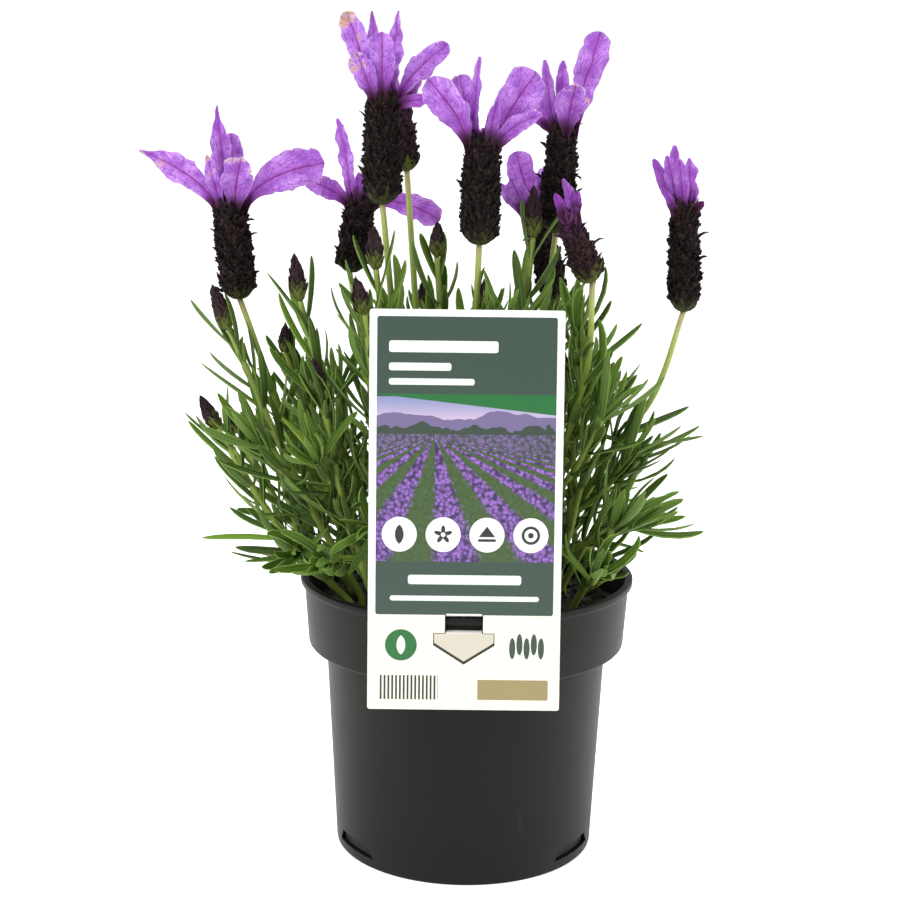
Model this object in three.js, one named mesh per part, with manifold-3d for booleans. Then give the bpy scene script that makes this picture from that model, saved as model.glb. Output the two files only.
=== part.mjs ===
// A crested lavender in a 140 mm nursery pot, with the printed card that hooks over the pot's rim.
// Units are millimetres and +Z is up. The origin is the middle of the pot's foot, on the ground, and the
// card faces -Y. The pot, the potting mix, the card, each leafy stem, each dark flower spike, each crest of
// petals and each bud is one closed mesh. Neighbours keep a gap of about 0.3 mm.
import * as THREE from 'three';
import { mergeVertices } from 'three/addons/utils/BufferGeometryUtils.js';
import Module from 'manifold-3d';

const wasm = await Module();
wasm.setup();

// ---------------------------------------------------------------- driving dimensions
const GAP = 0.3; // clearance between neighbouring pieces
const ROUND = 36; // sides of the pot and of the potting mix

const POT = {
  height: 119,
  wall: 1.4,
  footRadius: 55.5, // outer radius on the ground
  bodyTopRadius: 59.9, // just below the collar
  collarFootRadius: 67.5,
  collarTopRadius: 69.3,
  lipRadius: 71,
  lipHeight: 3.6,
  collarDepth: 29.4,
  stepHeight: 2.6, // the shoulder between body and collar
  floorLift: 3, // the floor stands this high above the ground
  footWidth: 2.8,
  hubRadius: 14, // the middle of the floor reaches down to the ground
};
const DRAIN = { turn: 57, low: 4.4, high: 9.4, lowWidth: 27, highWidth: 20, lipCut: 1.5, lipLean: 0.41 };
const SLOT = { width: 16, height: 1.6, belowRim: 4.9, centreX: -1.5 };

const SOIL = { level: 105, crown: 2.2, lumps: 1.6, stemDepth: 8, stemRise: 6 };

const CARD = {
  width: 75,
  length: 156,
  thick: 0.8,
  corner: 1,
  lean: THREE.MathUtils.degToRad(5.9),
  foot: new THREE.Vector3(-1.5, -76, 83.5), // bottom edge, middle of the front face
};
// The tongue's heights above the card's bottom edge, and its widths.
const TONGUE = {
  tip: 18.3, cheek: 25.6, shoulder: 30, root: 38, neck: 14.2, head: 23.2, thick: 0.7, kerf: 0.35,
};

const SPIKE = { columns: 7, rows: 9, point: 2.6, lift: 3.4, socket: 3 };
const BUD = { columns: 5, rows: 5, point: 0.7, lift: 1.2, socket: 1.6, radius: 3.5 };
const PETAL = { thick: 1, crumple: 0.9, cone: 4, looks: new THREE.Vector3(0, -0.8, 0.2) };
// A square stem: half widths at its foot and top, how far its pointed end reaches, the length of the short
// stretch that bears a pair of leaves, and the longest stretch between two rings.
const STEM = {
  foot: 1.5, top: 1, branchTop: 0.75, tipReach: 1.5, node: 2.2, stride: 26, room: 0.35, roomStride: 8,
};
const LEAF = { width: 4.2, thick: 1, clear: 0.45, root: 0.02, free: 0.16, aboveMix: 6 };

// ---------------------------------------------------------------- the plant's layout, in whole millimetres
// Open heads: foot and top of the dark spike, its radius, and each petal as [x, y, z of the tip, width].
const FLOWERS = [
  { foot: [-95, -8, 236], top: [-99, -8, 275], radius: 8.2,
    petals: [[-134, -14, 296, 10], [-104, -4, 314, 8], [-99, 5, 303, 8], [-92, -22, 294, 11],
      [-60, -12, 292, 14], [-107, -15, 294, 5]] },
  { foot: [-52, 30, 244], top: [-47, 32, 275], radius: 7.6,
    petals: [[-70, 24, 283, 8], [-58, 34, 309, 6], [-13, 30, 267, 10], [-48, 24, 286, 4], [-38, 46, 292, 8]] },
  { foot: [-36, -18, 276], top: [-36, -18, 319], radius: 8.4,
    petals: [[-51, -15, 351, 9], [-41, -9, 352, 7], [-36, -27, 343, 9], [-30, -11, 352, 7],
      [-10, -16, 339, 8], [-17, -25, 317, 5], [-46, -29, 334, 8]] },
  { foot: [-27, 12, 288], top: [-30, 12, 319], radius: 5.2,
    petals: [[-36, 20, 334, 6], [-24, 16, 335, 6], [-22, 4, 328, 6]] },
  { foot: [3, -28, 261], top: [4, -28, 302], radius: 8.5,
    petals: [[-18, -34, 325, 12], [-7, -21, 327, 10], [2, -29, 334, 4], [9, -37, 317, 5], [25, -28, 328, 14],
      [25, -40, 312, 7]] },
  { foot: [35, 0, 264], top: [37, 0, 307], radius: 8,
    petals: [[52, 0, 345, 12], [28, 5, 334, 5], [37, 9, 334, 5], [28, 10, 324, 8], [41, -13, 324, 11],
      [25, -5, 310, 4]] },
  { foot: [89, 0, 232], top: [88, 0, 275], radius: 7,
    petals: [[83, 5, 300, 6], [74, -2, 294, 5], [79, -7, 295, 6], [90, 3, 295, 7], [84, -9, 294, 6],
      [78, -8, 282, 4], [95, -5, 278, 4]] },
  { foot: [49, -22, 246], top: [38, -22, 272], radius: 6.4,
    petals: [[37, -20, 287, 7], [42, -19, 282, 5], [33, -26, 281, 5]] },
  { foot: [38, 32, 233], top: [27, 32, 272], radius: 6.6,
    petals: [[19, 38, 296, 11], [17, 27, 284, 8], [12, 30, 282, 5], [29, 25, 287, 6], [33, 40, 289, 8]] },
];

// Unopened buds: foot and tip.
const BUDS = [
  [[-99, -14, 224], [-105, -14, 241]],
  [[-69, -22, 237], [-71, -22, 254]],
  [[-104, -16, 183], [-110, -16, 195]],
  [[25, -14, 263], [25, -14, 282]],
  [[-14, -6, 254], [-14, -6, 267]],
  [[-38, -30, 251], [-39, -30, 267]],
  [[-42, -40, 234], [-45, -40, 247]],
  [[7, 10, 230], [6, 10, 242]],
  [[-19, 18, 229], [-20, 18, 240]],
  [[-59, -38, 202], [-62, -38, 214]],
  [[-97, 2, 178], [-103, 2, 189]],
  [[-79, 20, 210], [-79, 20, 221]],
];

// Stems: the hole in the soil, the points it bends through, and how far up it has leaves. It ends at its
// flower or bud, or in a tuft of leaves. Branches start part of the way up and end in a tuft too.
const SHOOTS = [
  { foot: [-36, -6], via: [[-60, -6, 150], [-77, -6, 185]], flower: 0, leafy: 0.72,
    branches: [[0.35, [-68, 12, 190]]] },
  { foot: [-24, 22], via: [[-38, 26, 170]], flower: 1, leafy: 0.8, branches: [[0.3, [-58, 40, 190]]] },
  { foot: [-14, -10], via: [[-27, -16, 190]], flower: 2, leafy: 0.72, branches: [[0.35, [-26, -26, 208]]] },
  { foot: [-9, 3], via: [[-20, 8, 200]], flower: 3, leafy: 0.62, branches: [] },
  { foot: [3, -14], via: [[1, -24, 190]], flower: 4, leafy: 0.8, branches: [[0.4, [14, -34, 226]]] },
  { foot: [15, -2], via: [[27, -1, 190]], flower: 5, leafy: 0.78, branches: [[0.4, [44, -8, 224]]] },
  { foot: [31, 2], via: [[56, 0, 164], [78, 0, 197]], flower: 6, leafy: 0.6,
    branches: [[0.3, [67, -9, 172]]] },
  { foot: [24, -15], via: [[40, -19, 180], [48, -21, 212]], flower: 7, leafy: 0.72,
    branches: [[0.35, [54, -30, 192]]] },
  { foot: [17, 18], via: [[32, 28, 180]], flower: 8, leafy: 0.8, branches: [[0.4, [40, 44, 216]]] },
  { foot: [-44, -16], via: [[-72, -20, 165]], bud: 0, leafy: 0.9, branches: [[0.4, [-84, -36, 180]]] },
  { foot: [-31, -19], via: [[-52, -22, 175]], bud: 1, leafy: 0.9, branches: [[0.35, [-60, -46, 176]]] },
  { foot: [-48, -25], via: [[-78, -23, 143]], bud: 2, leafy: 0.92, branches: [[0.3, [-68, -41, 138]]] },
  { foot: [9, -8], via: [[18, -12, 185]], bud: 3, leafy: 0.86, branches: [] },
  { foot: [-4, -3], via: [[-9, -5, 185]], bud: 4, leafy: 0.88, branches: [] },
  { foot: [-19, -20], via: [[-30, -27, 185]], bud: 5, leafy: 0.88, branches: [] },
  { foot: [-22, -31], via: [[-34, -38, 170]], bud: 6, leafy: 0.9, branches: [[0.3, [-38, -55, 150]]] },
  { foot: [5, 9], via: [[6, 10, 170]], bud: 7, leafy: 0.9, branches: [] },
  { foot: [-10, 15], via: [[-15, 17, 170]], bud: 8, leafy: 0.9, branches: [[0.4, [-14, 36, 204]]] },
  { foot: [-37, -33], via: [[-50, -37, 155]], bud: 9, leafy: 0.92, branches: [[0.25, [-56, -54, 136]]] },
  { foot: [-50, 4], via: [[-78, 3, 143]], bud: 10, leafy: 0.92, branches: [[0.25, [-70, 18, 138]]] },
  { foot: [-38, 17], via: [[-61, 20, 165]], bud: 11, leafy: 0.9, branches: [[0.3, [-72, 38, 160]]] },
  { foot: [36, -16], via: [[48, -13, 164], [54, -10, 192]], leafy: 1,
    branches: [[0.25, [68, -26, 146]], [0.55, [47, -5, 208]]] },
  { foot: [42, 8], via: [[58, 8, 142], [66, 7, 160]], leafy: 1, branches: [[0.3, [68, 22, 136]]] },
  { foot: [31, 26], via: [[43, 31, 160], [51, 33, 186]], leafy: 1, branches: [[0.3, [58, 48, 144]]] },
  { foot: [8, 34], via: [[11, 46, 160], [14, 54, 200]], leafy: 1,
    branches: [[0.25, [28, 66, 146]], [0.3, [-8, 64, 160]]] },
  { foot: [-20, 38], via: [[-30, 50, 160], [-36, 57, 196]], leafy: 1, branches: [[0.25, [-48, 66, 144]]] },
  { foot: [44, -26], via: [[54, -32, 132], [59, -36, 148]], leafy: 1, branches: [[0.3, [52, -52, 132]]] },
];
const LEAVES = { pairStep: 22, shortest: 26, longest: 44, steepest: 28, flattest: 58, droop: 0.34, sway: 26 };

// ---------------------------------------------------------------- colours and finishes
const finish = (color, roughness) => new THREE.MeshStandardMaterial({ color, roughness, metalness: 0 });
const PLASTIC = finish('#3c3d3b', 0.55);
const MIX = finish('#2b211b', 0.95);
const PRINTED_CARD = finish('#f4f2e6', 0.4);
const FOLIAGE = finish('#6f8f45', 0.6);
const SPIKE_SCALES = finish('#33202a', 0.7);
const PETALS = finish('#a56fdc', 0.55);
const BUD_SCALES = finish('#5a4650', 0.65);

// ---------------------------------------------------------------- small helpers
const point = (xyz) => new THREE.Vector3(...xyz);
const fraction = (x) => x - Math.floor(x);
// A number from 0 to 1 that looks random, and is the same for the same a and b.
const hash = (a, b) => fraction(Math.sin(a * 12.9898 + b * 78.233) * 43758.5453);
const average = (points) => points.reduce((sum, p) => sum.add(p), new THREE.Vector3())
  .divideScalar(points.length);

// A closed mesh from its vertices and triangles, with its faces turned outwards.
function closedMesh(vertices, triangles) {
  const volume = triangles.reduce((sum, [a, b, c]) => {
    const across = new THREE.Vector3().crossVectors(vertices[b], vertices[c]);
    return sum + vertices[a].dot(across);
  }, 0);
  const outward = volume > 0 ? triangles : triangles.map(([a, b, c]) => [a, c, b]);
  const geometry = new THREE.BufferGeometry();
  geometry.setFromPoints(vertices);
  geometry.setIndex(outward.flat());
  return geometry;
}

// The split of a blade's squares is mirrored in the second half of each ring, so that a thin blade whose
// rings run over its face and back under it is split alike on both faces.
const bladeSplit = (i, j, sides) => i < sides / 2;
// On a scaly body the squares are split between the inner points, so each outer point is a peak of its own.
const scaleSplit = (i, j) => (i + j) % 2 === 1;

// A skin carried over a row of rings with equal numbers of points, closed at both ends by a fan to one
// point each. splitOf says which way each square of the skin is split.
function skin(rings, firstPoint, lastPoint, splitOf = bladeSplit) {
  const sides = rings[0].length;
  const vertices = [...rings.flat(), firstPoint, lastPoint];
  const triangles = [];
  for (let j = 0; j + 1 < rings.length; j += 1) {
    for (let i = 0; i < sides; i += 1) {
      const a = j * sides + i;
      const b = j * sides + ((i + 1) % sides);
      const [c, d] = [b + sides, a + sides];
      const halves = splitOf(i, j, sides) ? [[a, b, c], [a, c, d]] : [[a, b, d], [b, c, d]];
      triangles.push(...halves);
    }
  }
  const last = (rings.length - 1) * sides;
  for (let i = 0; i < sides; i += 1) {
    const next = (i + 1) % sides;
    triangles.push([next, i, vertices.length - 2]);
    triangles.push([last + i, last + next, vertices.length - 1]);
  }
  return closedMesh(vertices, triangles);
}

// Two directions square to a third one.
function across(direction) {
  const helper = Math.abs(direction.z) < 0.9 ? new THREE.Vector3(0, 0, 1) : new THREE.Vector3(0, 1, 0);
  const side = new THREE.Vector3().crossVectors(helper, direction).normalize();
  return [side, new THREE.Vector3().crossVectors(direction, side)];
}

// The point at a turn and radius round an axis through a centre.
function around(centre, [side, up], turn, radius) {
  return centre.clone()
    .addScaledVector(side, radius * Math.cos(turn))
    .addScaledVector(up, radius * Math.sin(turn));
}

function toSolid(geometry) {
  const bare = geometry.clone();
  bare.deleteAttribute('normal');
  bare.deleteAttribute('uv');
  const merged = mergeVertices(bare, 1e-4);
  const mesh = new wasm.Mesh({
    numProp: 3,
    vertProperties: new Float32Array(merged.attributes.position.array),
    triVerts: new Uint32Array(merged.index.array),
  });
  return new wasm.Manifold(mesh);
}

function toGeometry(solid) {
  const mesh = solid.getMesh();
  const geometry = new THREE.BufferGeometry();
  geometry.setAttribute('position', new THREE.BufferAttribute(mesh.vertProperties, 3));
  geometry.setIndex(new THREE.BufferAttribute(mesh.triVerts, 1));
  return geometry;
}

const boxOf = (solid) => {
  const { min, max } = solid.boundingBox();
  return new THREE.Box3(point(min), point(max));
};

const potted = new THREE.Group();
const occupied = []; // every solid that a leaf has to stay clear of, with the node it belongs to
function occupy(node, solid) {
  occupied.push({ node, solid, box: boxOf(solid) });
}
function place(name, geometry, material) {
  const mesh = new THREE.Mesh(geometry, material);
  mesh.name = name;
  potted.add(mesh);
}

// ---------------------------------------------------------------- pot
// A plane shape on the XZ plane, pushed along Y, made from its outline.
function cutter(outline, depth) {
  const shape = new THREE.Shape(outline.map(([x, z]) => new THREE.Vector2(x, z)));
  const geometry = new THREE.ExtrudeGeometry(shape, { depth, bevelEnabled: false, curveSegments: 1 });
  return geometry.rotateX(Math.PI / 2); // the outline's second axis becomes +Z, and the push goes to -Y
}

function makePot() {
  const { height, wall, footRadius, bodyTopRadius, collarFootRadius, collarTopRadius, lipRadius } = POT;
  const collarFoot = height - POT.collarDepth;
  const lipFoot = height - POT.lipHeight;
  const floorTop = POT.floorLift + wall;
  const wallSlope = (bodyTopRadius - footRadius) / (collarFoot - POT.stepHeight);
  const profile = [
    [0, 0],
    [POT.hubRadius, 0],
    [POT.hubRadius + 1.5, POT.floorLift],
    [footRadius - POT.footWidth, POT.floorLift],
    [footRadius - POT.footWidth + 0.4, 0],
    [footRadius, 0],
    [bodyTopRadius, collarFoot - POT.stepHeight],
    [collarFootRadius, collarFoot],
    [collarTopRadius, lipFoot],
    [lipRadius, lipFoot + 0.9],
    [lipRadius, height - 0.8],
    [lipRadius - 0.8, height],
    [collarTopRadius - wall, height],
    [collarFootRadius - wall, collarFoot + 0.6],
    [bodyTopRadius - wall, collarFoot - POT.stepHeight],
    [footRadius - wall + wallSlope * floorTop, floorTop],
    [0, floorTop],
  ].map(([r, z]) => new THREE.Vector2(r, z));
  // A lathe turns about +Y, so it is stood up on +Z.
  const lathe = new THREE.LatheGeometry(profile, ROUND).rotateX(Math.PI / 2);
  let pot = toSolid(lathe);
  for (const half of [0, 180]) {
    for (const hand of [-1, 1]) {
      const [low, high] = [DRAIN.lowWidth / 2, DRAIN.highWidth / 2];
      const outline = [[-low, DRAIN.low], [low, DRAIN.low], [high, DRAIN.high], [-high, DRAIN.high]];
      const hole = cutter(outline, footRadius + 4).translate(0, -footRadius + 14, 0);
      hole.rotateZ(THREE.MathUtils.degToRad(half + hand * DRAIN.turn));
      // The lip below the opening leans in to the ground, cut by a flat slanted face.
      const lean = (z) => [footRadius - DRAIN.lipCut + DRAIN.lipLean * z, z];
      const side = [lean(-1), [footRadius + 5, -1], [footRadius + 5, DRAIN.low + 0.2], lean(DRAIN.low + 0.2)];
      const lip = cutter(side, 26).rotateZ(-Math.PI / 2).translate(13, 0, 0);
      lip.rotateZ(THREE.MathUtils.degToRad(half + hand * DRAIN.turn));
      pot = pot.subtract(toSolid(hole)).subtract(toSolid(lip));
    }
  }
  const top = height - SLOT.belowRim;
  const [left, right] = [SLOT.centreX - SLOT.width / 2, SLOT.centreX + SLOT.width / 2];
  const outline = [[left, top - SLOT.height], [right, top - SLOT.height], [right, top], [left, top]];
  const slot = cutter(outline, 20).translate(0, -collarTopRadius + 12, 0);
  return pot.subtract(toSolid(slot));
}

// ---------------------------------------------------------------- potting mix
function makeMix() {
  const { wall, footRadius, bodyTopRadius, collarFootRadius, collarTopRadius } = POT;
  const collarFoot = POT.height - POT.collarDepth;
  const shoulder = collarFoot - POT.stepHeight;
  const bottom = POT.floorLift + wall + GAP;
  const slope = (bodyTopRadius - footRadius) / shoulder;
  const collarSlope = (collarTopRadius - collarFootRadius) / (POT.collarDepth - POT.lipHeight);
  const inset = wall + GAP + 0.15;
  const atLevel = collarFootRadius - inset + collarSlope * (SOIL.level - collarFoot);
  const ring = (radius, height, lumps) => Array.from({ length: ROUND }, (_, i) => {
    const turn = (2 * Math.PI * i) / ROUND;
    const lump = lumps * (hash(i, Math.round(radius)) - 0.5);
    // The lathe's corners lie on its own circle from +Y round, and these lie on the same rays.
    return new THREE.Vector3(radius * Math.sin(turn), radius * Math.cos(turn), height + lump);
  });
  const crown = (share) => SOIL.level + SOIL.crown * (1 - share * share);
  const rings = [
    ring(footRadius - inset + slope * bottom, bottom, 0),
    ring(bodyTopRadius - inset, shoulder - 0.2, 0),
    ring(collarFootRadius - inset, collarFoot + 1, 0),
    ring(atLevel, SOIL.level - 1, SOIL.lumps * 0.6),
    ring(atLevel * 0.72, crown(0.72), SOIL.lumps * 1.6),
    ring(atLevel * 0.36, crown(0.36), SOIL.lumps * 1.2),
  ];
  const below = new THREE.Vector3(0, 0, bottom);
  return toSolid(skin(rings, below, new THREE.Vector3(0, 0, crown(0))));
}

// ---------------------------------------------------------------- card on the rim
// A point of the card from its distance right of the middle, up from the bottom edge, and out of the front.
function onCard(right, up, out) {
  const { foot, lean } = CARD;
  return new THREE.Vector3(
    foot.x + right,
    foot.y + up * Math.sin(lean) - out * Math.cos(lean),
    foot.z + up * Math.cos(lean) + out * Math.sin(lean),
  );
}

// A flat piece of the card, from its outline in the card's own right and up, between two depths.
function cardPlate(shape, back, front) {
  const depth = front - back;
  const geometry = new THREE.ExtrudeGeometry(shape, { depth, bevelEnabled: false, curveSegments: 3 });
  const cardAxes = new THREE.Matrix4().makeBasis(
    new THREE.Vector3(1, 0, 0),
    onCard(0, 1, 0).sub(CARD.foot),
    onCard(0, 0, 1).sub(CARD.foot),
  );
  return geometry.translate(0, 0, back).applyMatrix4(cardAxes).translate(...CARD.foot.toArray());
}

function roundedCard({ width, length, corner }) {
  const shape = new THREE.Shape();
  const half = width / 2;
  shape.moveTo(-half + corner, 0);
  shape.lineTo(half - corner, 0);
  shape.absarc(half - corner, corner, corner, -Math.PI / 2, 0);
  shape.lineTo(half, length - corner);
  shape.absarc(half - corner, length - corner, corner, 0, Math.PI / 2);
  shape.lineTo(-half + corner, length);
  shape.absarc(-half + corner, length - corner, corner, Math.PI / 2, Math.PI);
  shape.lineTo(-half, corner);
  shape.absarc(-half + corner, corner, corner, Math.PI, Math.PI * 1.5);
  return shape;
}

// The arrow's outline: its head, and above it the neck up to a given height, all grown by a margin.
function arrow(top, margin) {
  const head = TONGUE.head / 2 + margin;
  const neck = TONGUE.neck / 2 + margin;
  const [tip, cheek] = [TONGUE.tip - margin * 1.2, TONGUE.cheek - margin * 0.5];
  const shoulder = TONGUE.shoulder + margin;
  return new THREE.Shape([
    [0, tip], [head, cheek], [head, shoulder], [neck, shoulder], [neck, top],
    [-neck, top], [-neck, shoulder], [-head, shoulder], [-head, cheek],
  ].map(([x, y]) => new THREE.Vector2(x, y)));
}

// The neck seen from the side, as [y, z]: back over the rim bar, down inside it and out through the slot.
function neckRoute() {
  const root = onCard(0, TONGUE.root + 0.5, -CARD.thick / 2);
  const slotMiddle = POT.height - SLOT.belowRim - SLOT.height / 2;
  const inside = -(POT.collarTopRadius - POT.wall) + 1.6;
  const over = POT.height + GAP + TONGUE.thick / 2;
  const arrowTop = onCard(0, TONGUE.shoulder - 0.3, -CARD.thick / 2);
  return [
    [root.y, root.z], [root.y + 1.5, over + 0.5], [root.y + 3, over], [inside - 0.5, over],
    [inside, over - 0.6], [inside, slotMiddle + 0.6], [inside - 0.6, slotMiddle],
    [arrowTop.y + 0.8, slotMiddle], [arrowTop.y, arrowTop.z],
  ].map(([y, z]) => new THREE.Vector2(y, z));
}

// A strip of even thickness along a route of points, as a closed outline.
function stripOutline(route, thick) {
  const edge = (hand) => route.map((p, i) => {
    const before = route[Math.max(i - 1, 0)];
    const after = route[Math.min(i + 1, route.length - 1)];
    const along = after.clone().sub(before).normalize();
    return new THREE.Vector2(p.x - along.y * hand * thick / 2, p.y + along.x * hand * thick / 2);
  });
  return [...edge(1), ...edge(-1).reverse()];
}

function makeCard() {
  const blank = toSolid(cardPlate(roundedCard(CARD), -CARD.thick, 0));
  const opening = toSolid(cardPlate(arrow(TONGUE.root, TONGUE.kerf), -CARD.thick - 1, 1));
  const arrowHead = toSolid(cardPlate(arrow(TONGUE.shoulder + 0.1, 0), -CARD.thick, 0));
  const side = new THREE.Shape(stripOutline(neckRoute(), TONGUE.thick));
  const strip = new THREE.ExtrudeGeometry(side, { depth: TONGUE.neck, bevelEnabled: false });
  // The side view's own axes become Y and Z, and its depth becomes X.
  strip.applyMatrix4(new THREE.Matrix4().makeBasis(
    new THREE.Vector3(0, 1, 0), new THREE.Vector3(0, 0, 1), new THREE.Vector3(1, 0, 0)));
  strip.translate(CARD.foot.x - TONGUE.neck / 2, 0, 0);
  return blank.subtract(opening).add(arrowHead).add(toSolid(strip));
}

// ---------------------------------------------------------------- flower spikes and buds
// A dense head of pointed scales as relief on one body. Each ring has an outer point on every column and an
// inner one between, the next ring is turned by half a column, and the outer points are lifted, so every
// point is the tip of one scale. The foot is hollowed to a cone, where the stem's end stands.
function scalyBody(foot, top, girth, { columns, rows, point: reach, lift, socket }, seed) {
  const axis = top.clone().sub(foot);
  const length = axis.length();
  axis.normalize();
  const sides = across(axis);
  const rings = Array.from({ length: rows }, (_, j) => {
    const share = j / (rows - 1);
    const radius = girth(share);
    return Array.from({ length: columns * 2 }, (_unused, i) => {
      const isTip = (i + j) % 2 === 0;
      const turn = (Math.PI * i) / columns;
      const wobble = 1 + 0.12 * (hash(i + seed, j) - 0.5);
      const out = isTip ? radius * wobble + reach * 0.6 : radius * wobble - reach * 0.5;
      const height = share * (length - lift) + (isTip ? lift * 0.5 : -lift * 0.25);
      return around(foot.clone().addScaledVector(axis, Math.max(height, 0)), sides, turn, Math.max(out, 0.8));
    });
  });
  const hollow = foot.clone().addScaledVector(axis, socket);
  return skin(rings, hollow, top, scaleSplit);
}

// The radius of a spike or a bud at a share of its length: a barrel with a blunt end, and a pointed egg.
const spikeGirth = (radius) => (share) => {
  const barrel = 0.62 + 0.38 * Math.sin(Math.PI * Math.min(share * 1.15 + 0.12, 1));
  return radius * barrel * (share > 0.93 ? 0.72 : 1);
};
const budGirth = (share) => {
  const egg = 0.45 + 0.75 * Math.sin(Math.PI * (0.2 + 0.62 * share));
  return BUD.radius * (egg - 0.55 * share * share);
};

// ---------------------------------------------------------------- crest petals
// One petal: narrow at its root, widest beyond the middle, crumpled by a wave that runs over both faces. It
// leaves the spike in its start direction and bends over to its tip, and its upper face looks one way, as far
// as its own direction lets it.
function petal(root, tip, width, start, looks, seed) {
  const handle = root.clone().addScaledVector(start, root.distanceTo(tip) * 0.42);
  const curve = new THREE.QuadraticBezierCurve3(root, handle, tip);
  const shares = [0, 0.3, 0.62, 0.9];
  const widths = [0.36, 0.64, 1, 0.74];
  const rings = shares.map((share, j) => {
    const centre = curve.getPoint(share);
    const side = curve.getTangent(share).cross(looks).normalize();
    const face = side.clone().cross(curve.getTangent(share));
    const half = (width * widths[j]) / 2;
    const thick = (PETAL.thick * (j === 0 ? 1.4 : 1)) / 2;
    const wave = j === 0 ? 0 : PETAL.crumple * (hash(seed, j) - 0.5);
    const cup = j === 0 ? 0 : half * 0.28;
    const left = centre.clone().addScaledVector(side, -half).addScaledVector(face, cup + wave);
    const right = centre.clone().addScaledVector(side, half).addScaledVector(face, cup - wave);
    return [
      left,
      centre.clone().addScaledVector(face, thick),
      right,
      centre.clone().addScaledVector(face, -thick),
    ];
  });
  const foot = average(rings[0]);
  return skin(rings, foot, curve.getPoint(1));
}

function makeCrest({ foot, top, radius, petals }, seed) {
  const axis = point(top).sub(point(foot)).normalize();
  const sides = across(axis);
  const seat = point(top).addScaledVector(axis, GAP);
  const coneRadius = Math.min(radius * 0.5, 3.4);
  const core = (share, height) => Array.from({ length: 6 }, (_, i) =>
    around(seat.clone().addScaledVector(axis, height), sides, (Math.PI * i) / 3, coneRadius * share));
  const rings = [core(0.8, 0.2), core(1, 1.6), core(0.7, PETAL.cone)];
  let crest = toSolid(skin(rings, seat.clone().addScaledVector(axis, 0.2),
    seat.clone().addScaledVector(axis, PETAL.cone + 2)));
  petals.forEach(([x, y, z, width], k) => {
    const tip = new THREE.Vector3(x, y, z);
    const flat = tip.clone().sub(seat);
    flat.addScaledVector(axis, -flat.dot(axis));
    const away = flat.lengthSq() > 1 ? flat.normalize() : sides[0];
    const root = seat.clone().addScaledVector(axis, 1.7).addScaledVector(away, coneRadius * 0.45);
    const lean = tip.clone().sub(root).normalize();
    const start = axis.clone().multiplyScalar(0.75).addScaledVector(lean, 0.65).normalize();
    const looks = PETAL.looks.clone().addScaledVector(away, 0.35);
    crest = crest.add(toSolid(petal(root, tip, width, start, looks, seed * 10 + k)));
  });
  return crest;
}

// ---------------------------------------------------------------- stems and leaves
// A closed surface that is grown. An open loop is carried on to a ring of as many points, and a loop is
// closed on one point at last. Leaves and branches are carried on from faces of the stem that are left open,
// so a whole leafy stem is one skin.
function growth() {
  const vertices = [];
  const triangles = [];
  const add = (points) => points.map((p) => vertices.push(p) - 1);
  const face = (...corners) => triangles.push(corners);
  const carry = (loop, points) => {
    const ring = add(points);
    loop.forEach((a, i) => {
      const next = (i + 1) % loop.length;
      face(a, loop[next], ring[next]);
      face(a, ring[next], ring[i]);
    });
    return ring;
  };
  const close = (loop, tip) => {
    const [end] = add([tip]);
    loop.forEach((a, i) => face(a, loop[(i + 1) % loop.length], end));
  };
  return { vertices, triangles, add, face, carry, close };
}

const CORNERS = [[-1, -1], [1, -1], [1, 1], [-1, 1]];
const square = (centre, side, up, half) => CORNERS.map(([x, y]) =>
  centre.clone().addScaledVector(side, x * half).addScaledVector(up, y * half));

// The stations of a leaf from its root outwards: a flat upper face and a keel under it, bent along its
// length. Each ring is keel, right and left.
function leafStations({ root, along, side, length, width, droop }, margin) {
  const normal = new THREE.Vector3().crossVectors(along, side).normalize();
  const lateral = new THREE.Vector3().crossVectors(normal, along).normalize();
  const centre = (share) => root.clone()
    .addScaledVector(along, length * share * (1 - 0.12 * share))
    .addScaledVector(normal, -length * droop * share * share);
  const ring = (share, broad) => {
    const half = (width * broad) / 2 + margin;
    const middle = centre(share);
    return [
      middle.clone().addScaledVector(normal, -LEAF.thick - margin),
      middle.clone().addScaledVector(lateral, half).addScaledVector(normal, margin),
      middle.clone().addScaledVector(lateral, -half).addScaledVector(normal, margin),
    ];
  };
  return { ring, tip: centre(1).addScaledVector(along, margin) };
}

// A leaf from a share of its length outwards, as a solid with a margin round it.
function leafFrom(start, leaf, margin) {
  const { ring, tip } = leafStations(leaf, margin);
  const rings = [ring(start, 0.7), ring(0.36, 1), ring(0.72, 0.8)];
  return toSolid(skin(rings, average(rings[0]), tip));
}

// Whether a solid touches nothing that is there already, but for what belongs to the node it may touch.
function isClear(solid, ownNode) {
  const box = boxOf(solid);
  return occupied.every((other) => other.node === ownNode || !other.box.intersectsBox(box)
    || other.solid.intersect(solid).isEmpty());
}

// The free part of a leaf must clear everything, and its root everything but its own stem.
const hasRoom = (leaf, node) => isClear(leafFrom(LEAF.free, leaf, LEAF.clear))
  && isClear(leafFrom(LEAF.root, leaf, LEAF.clear), node);

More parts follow.
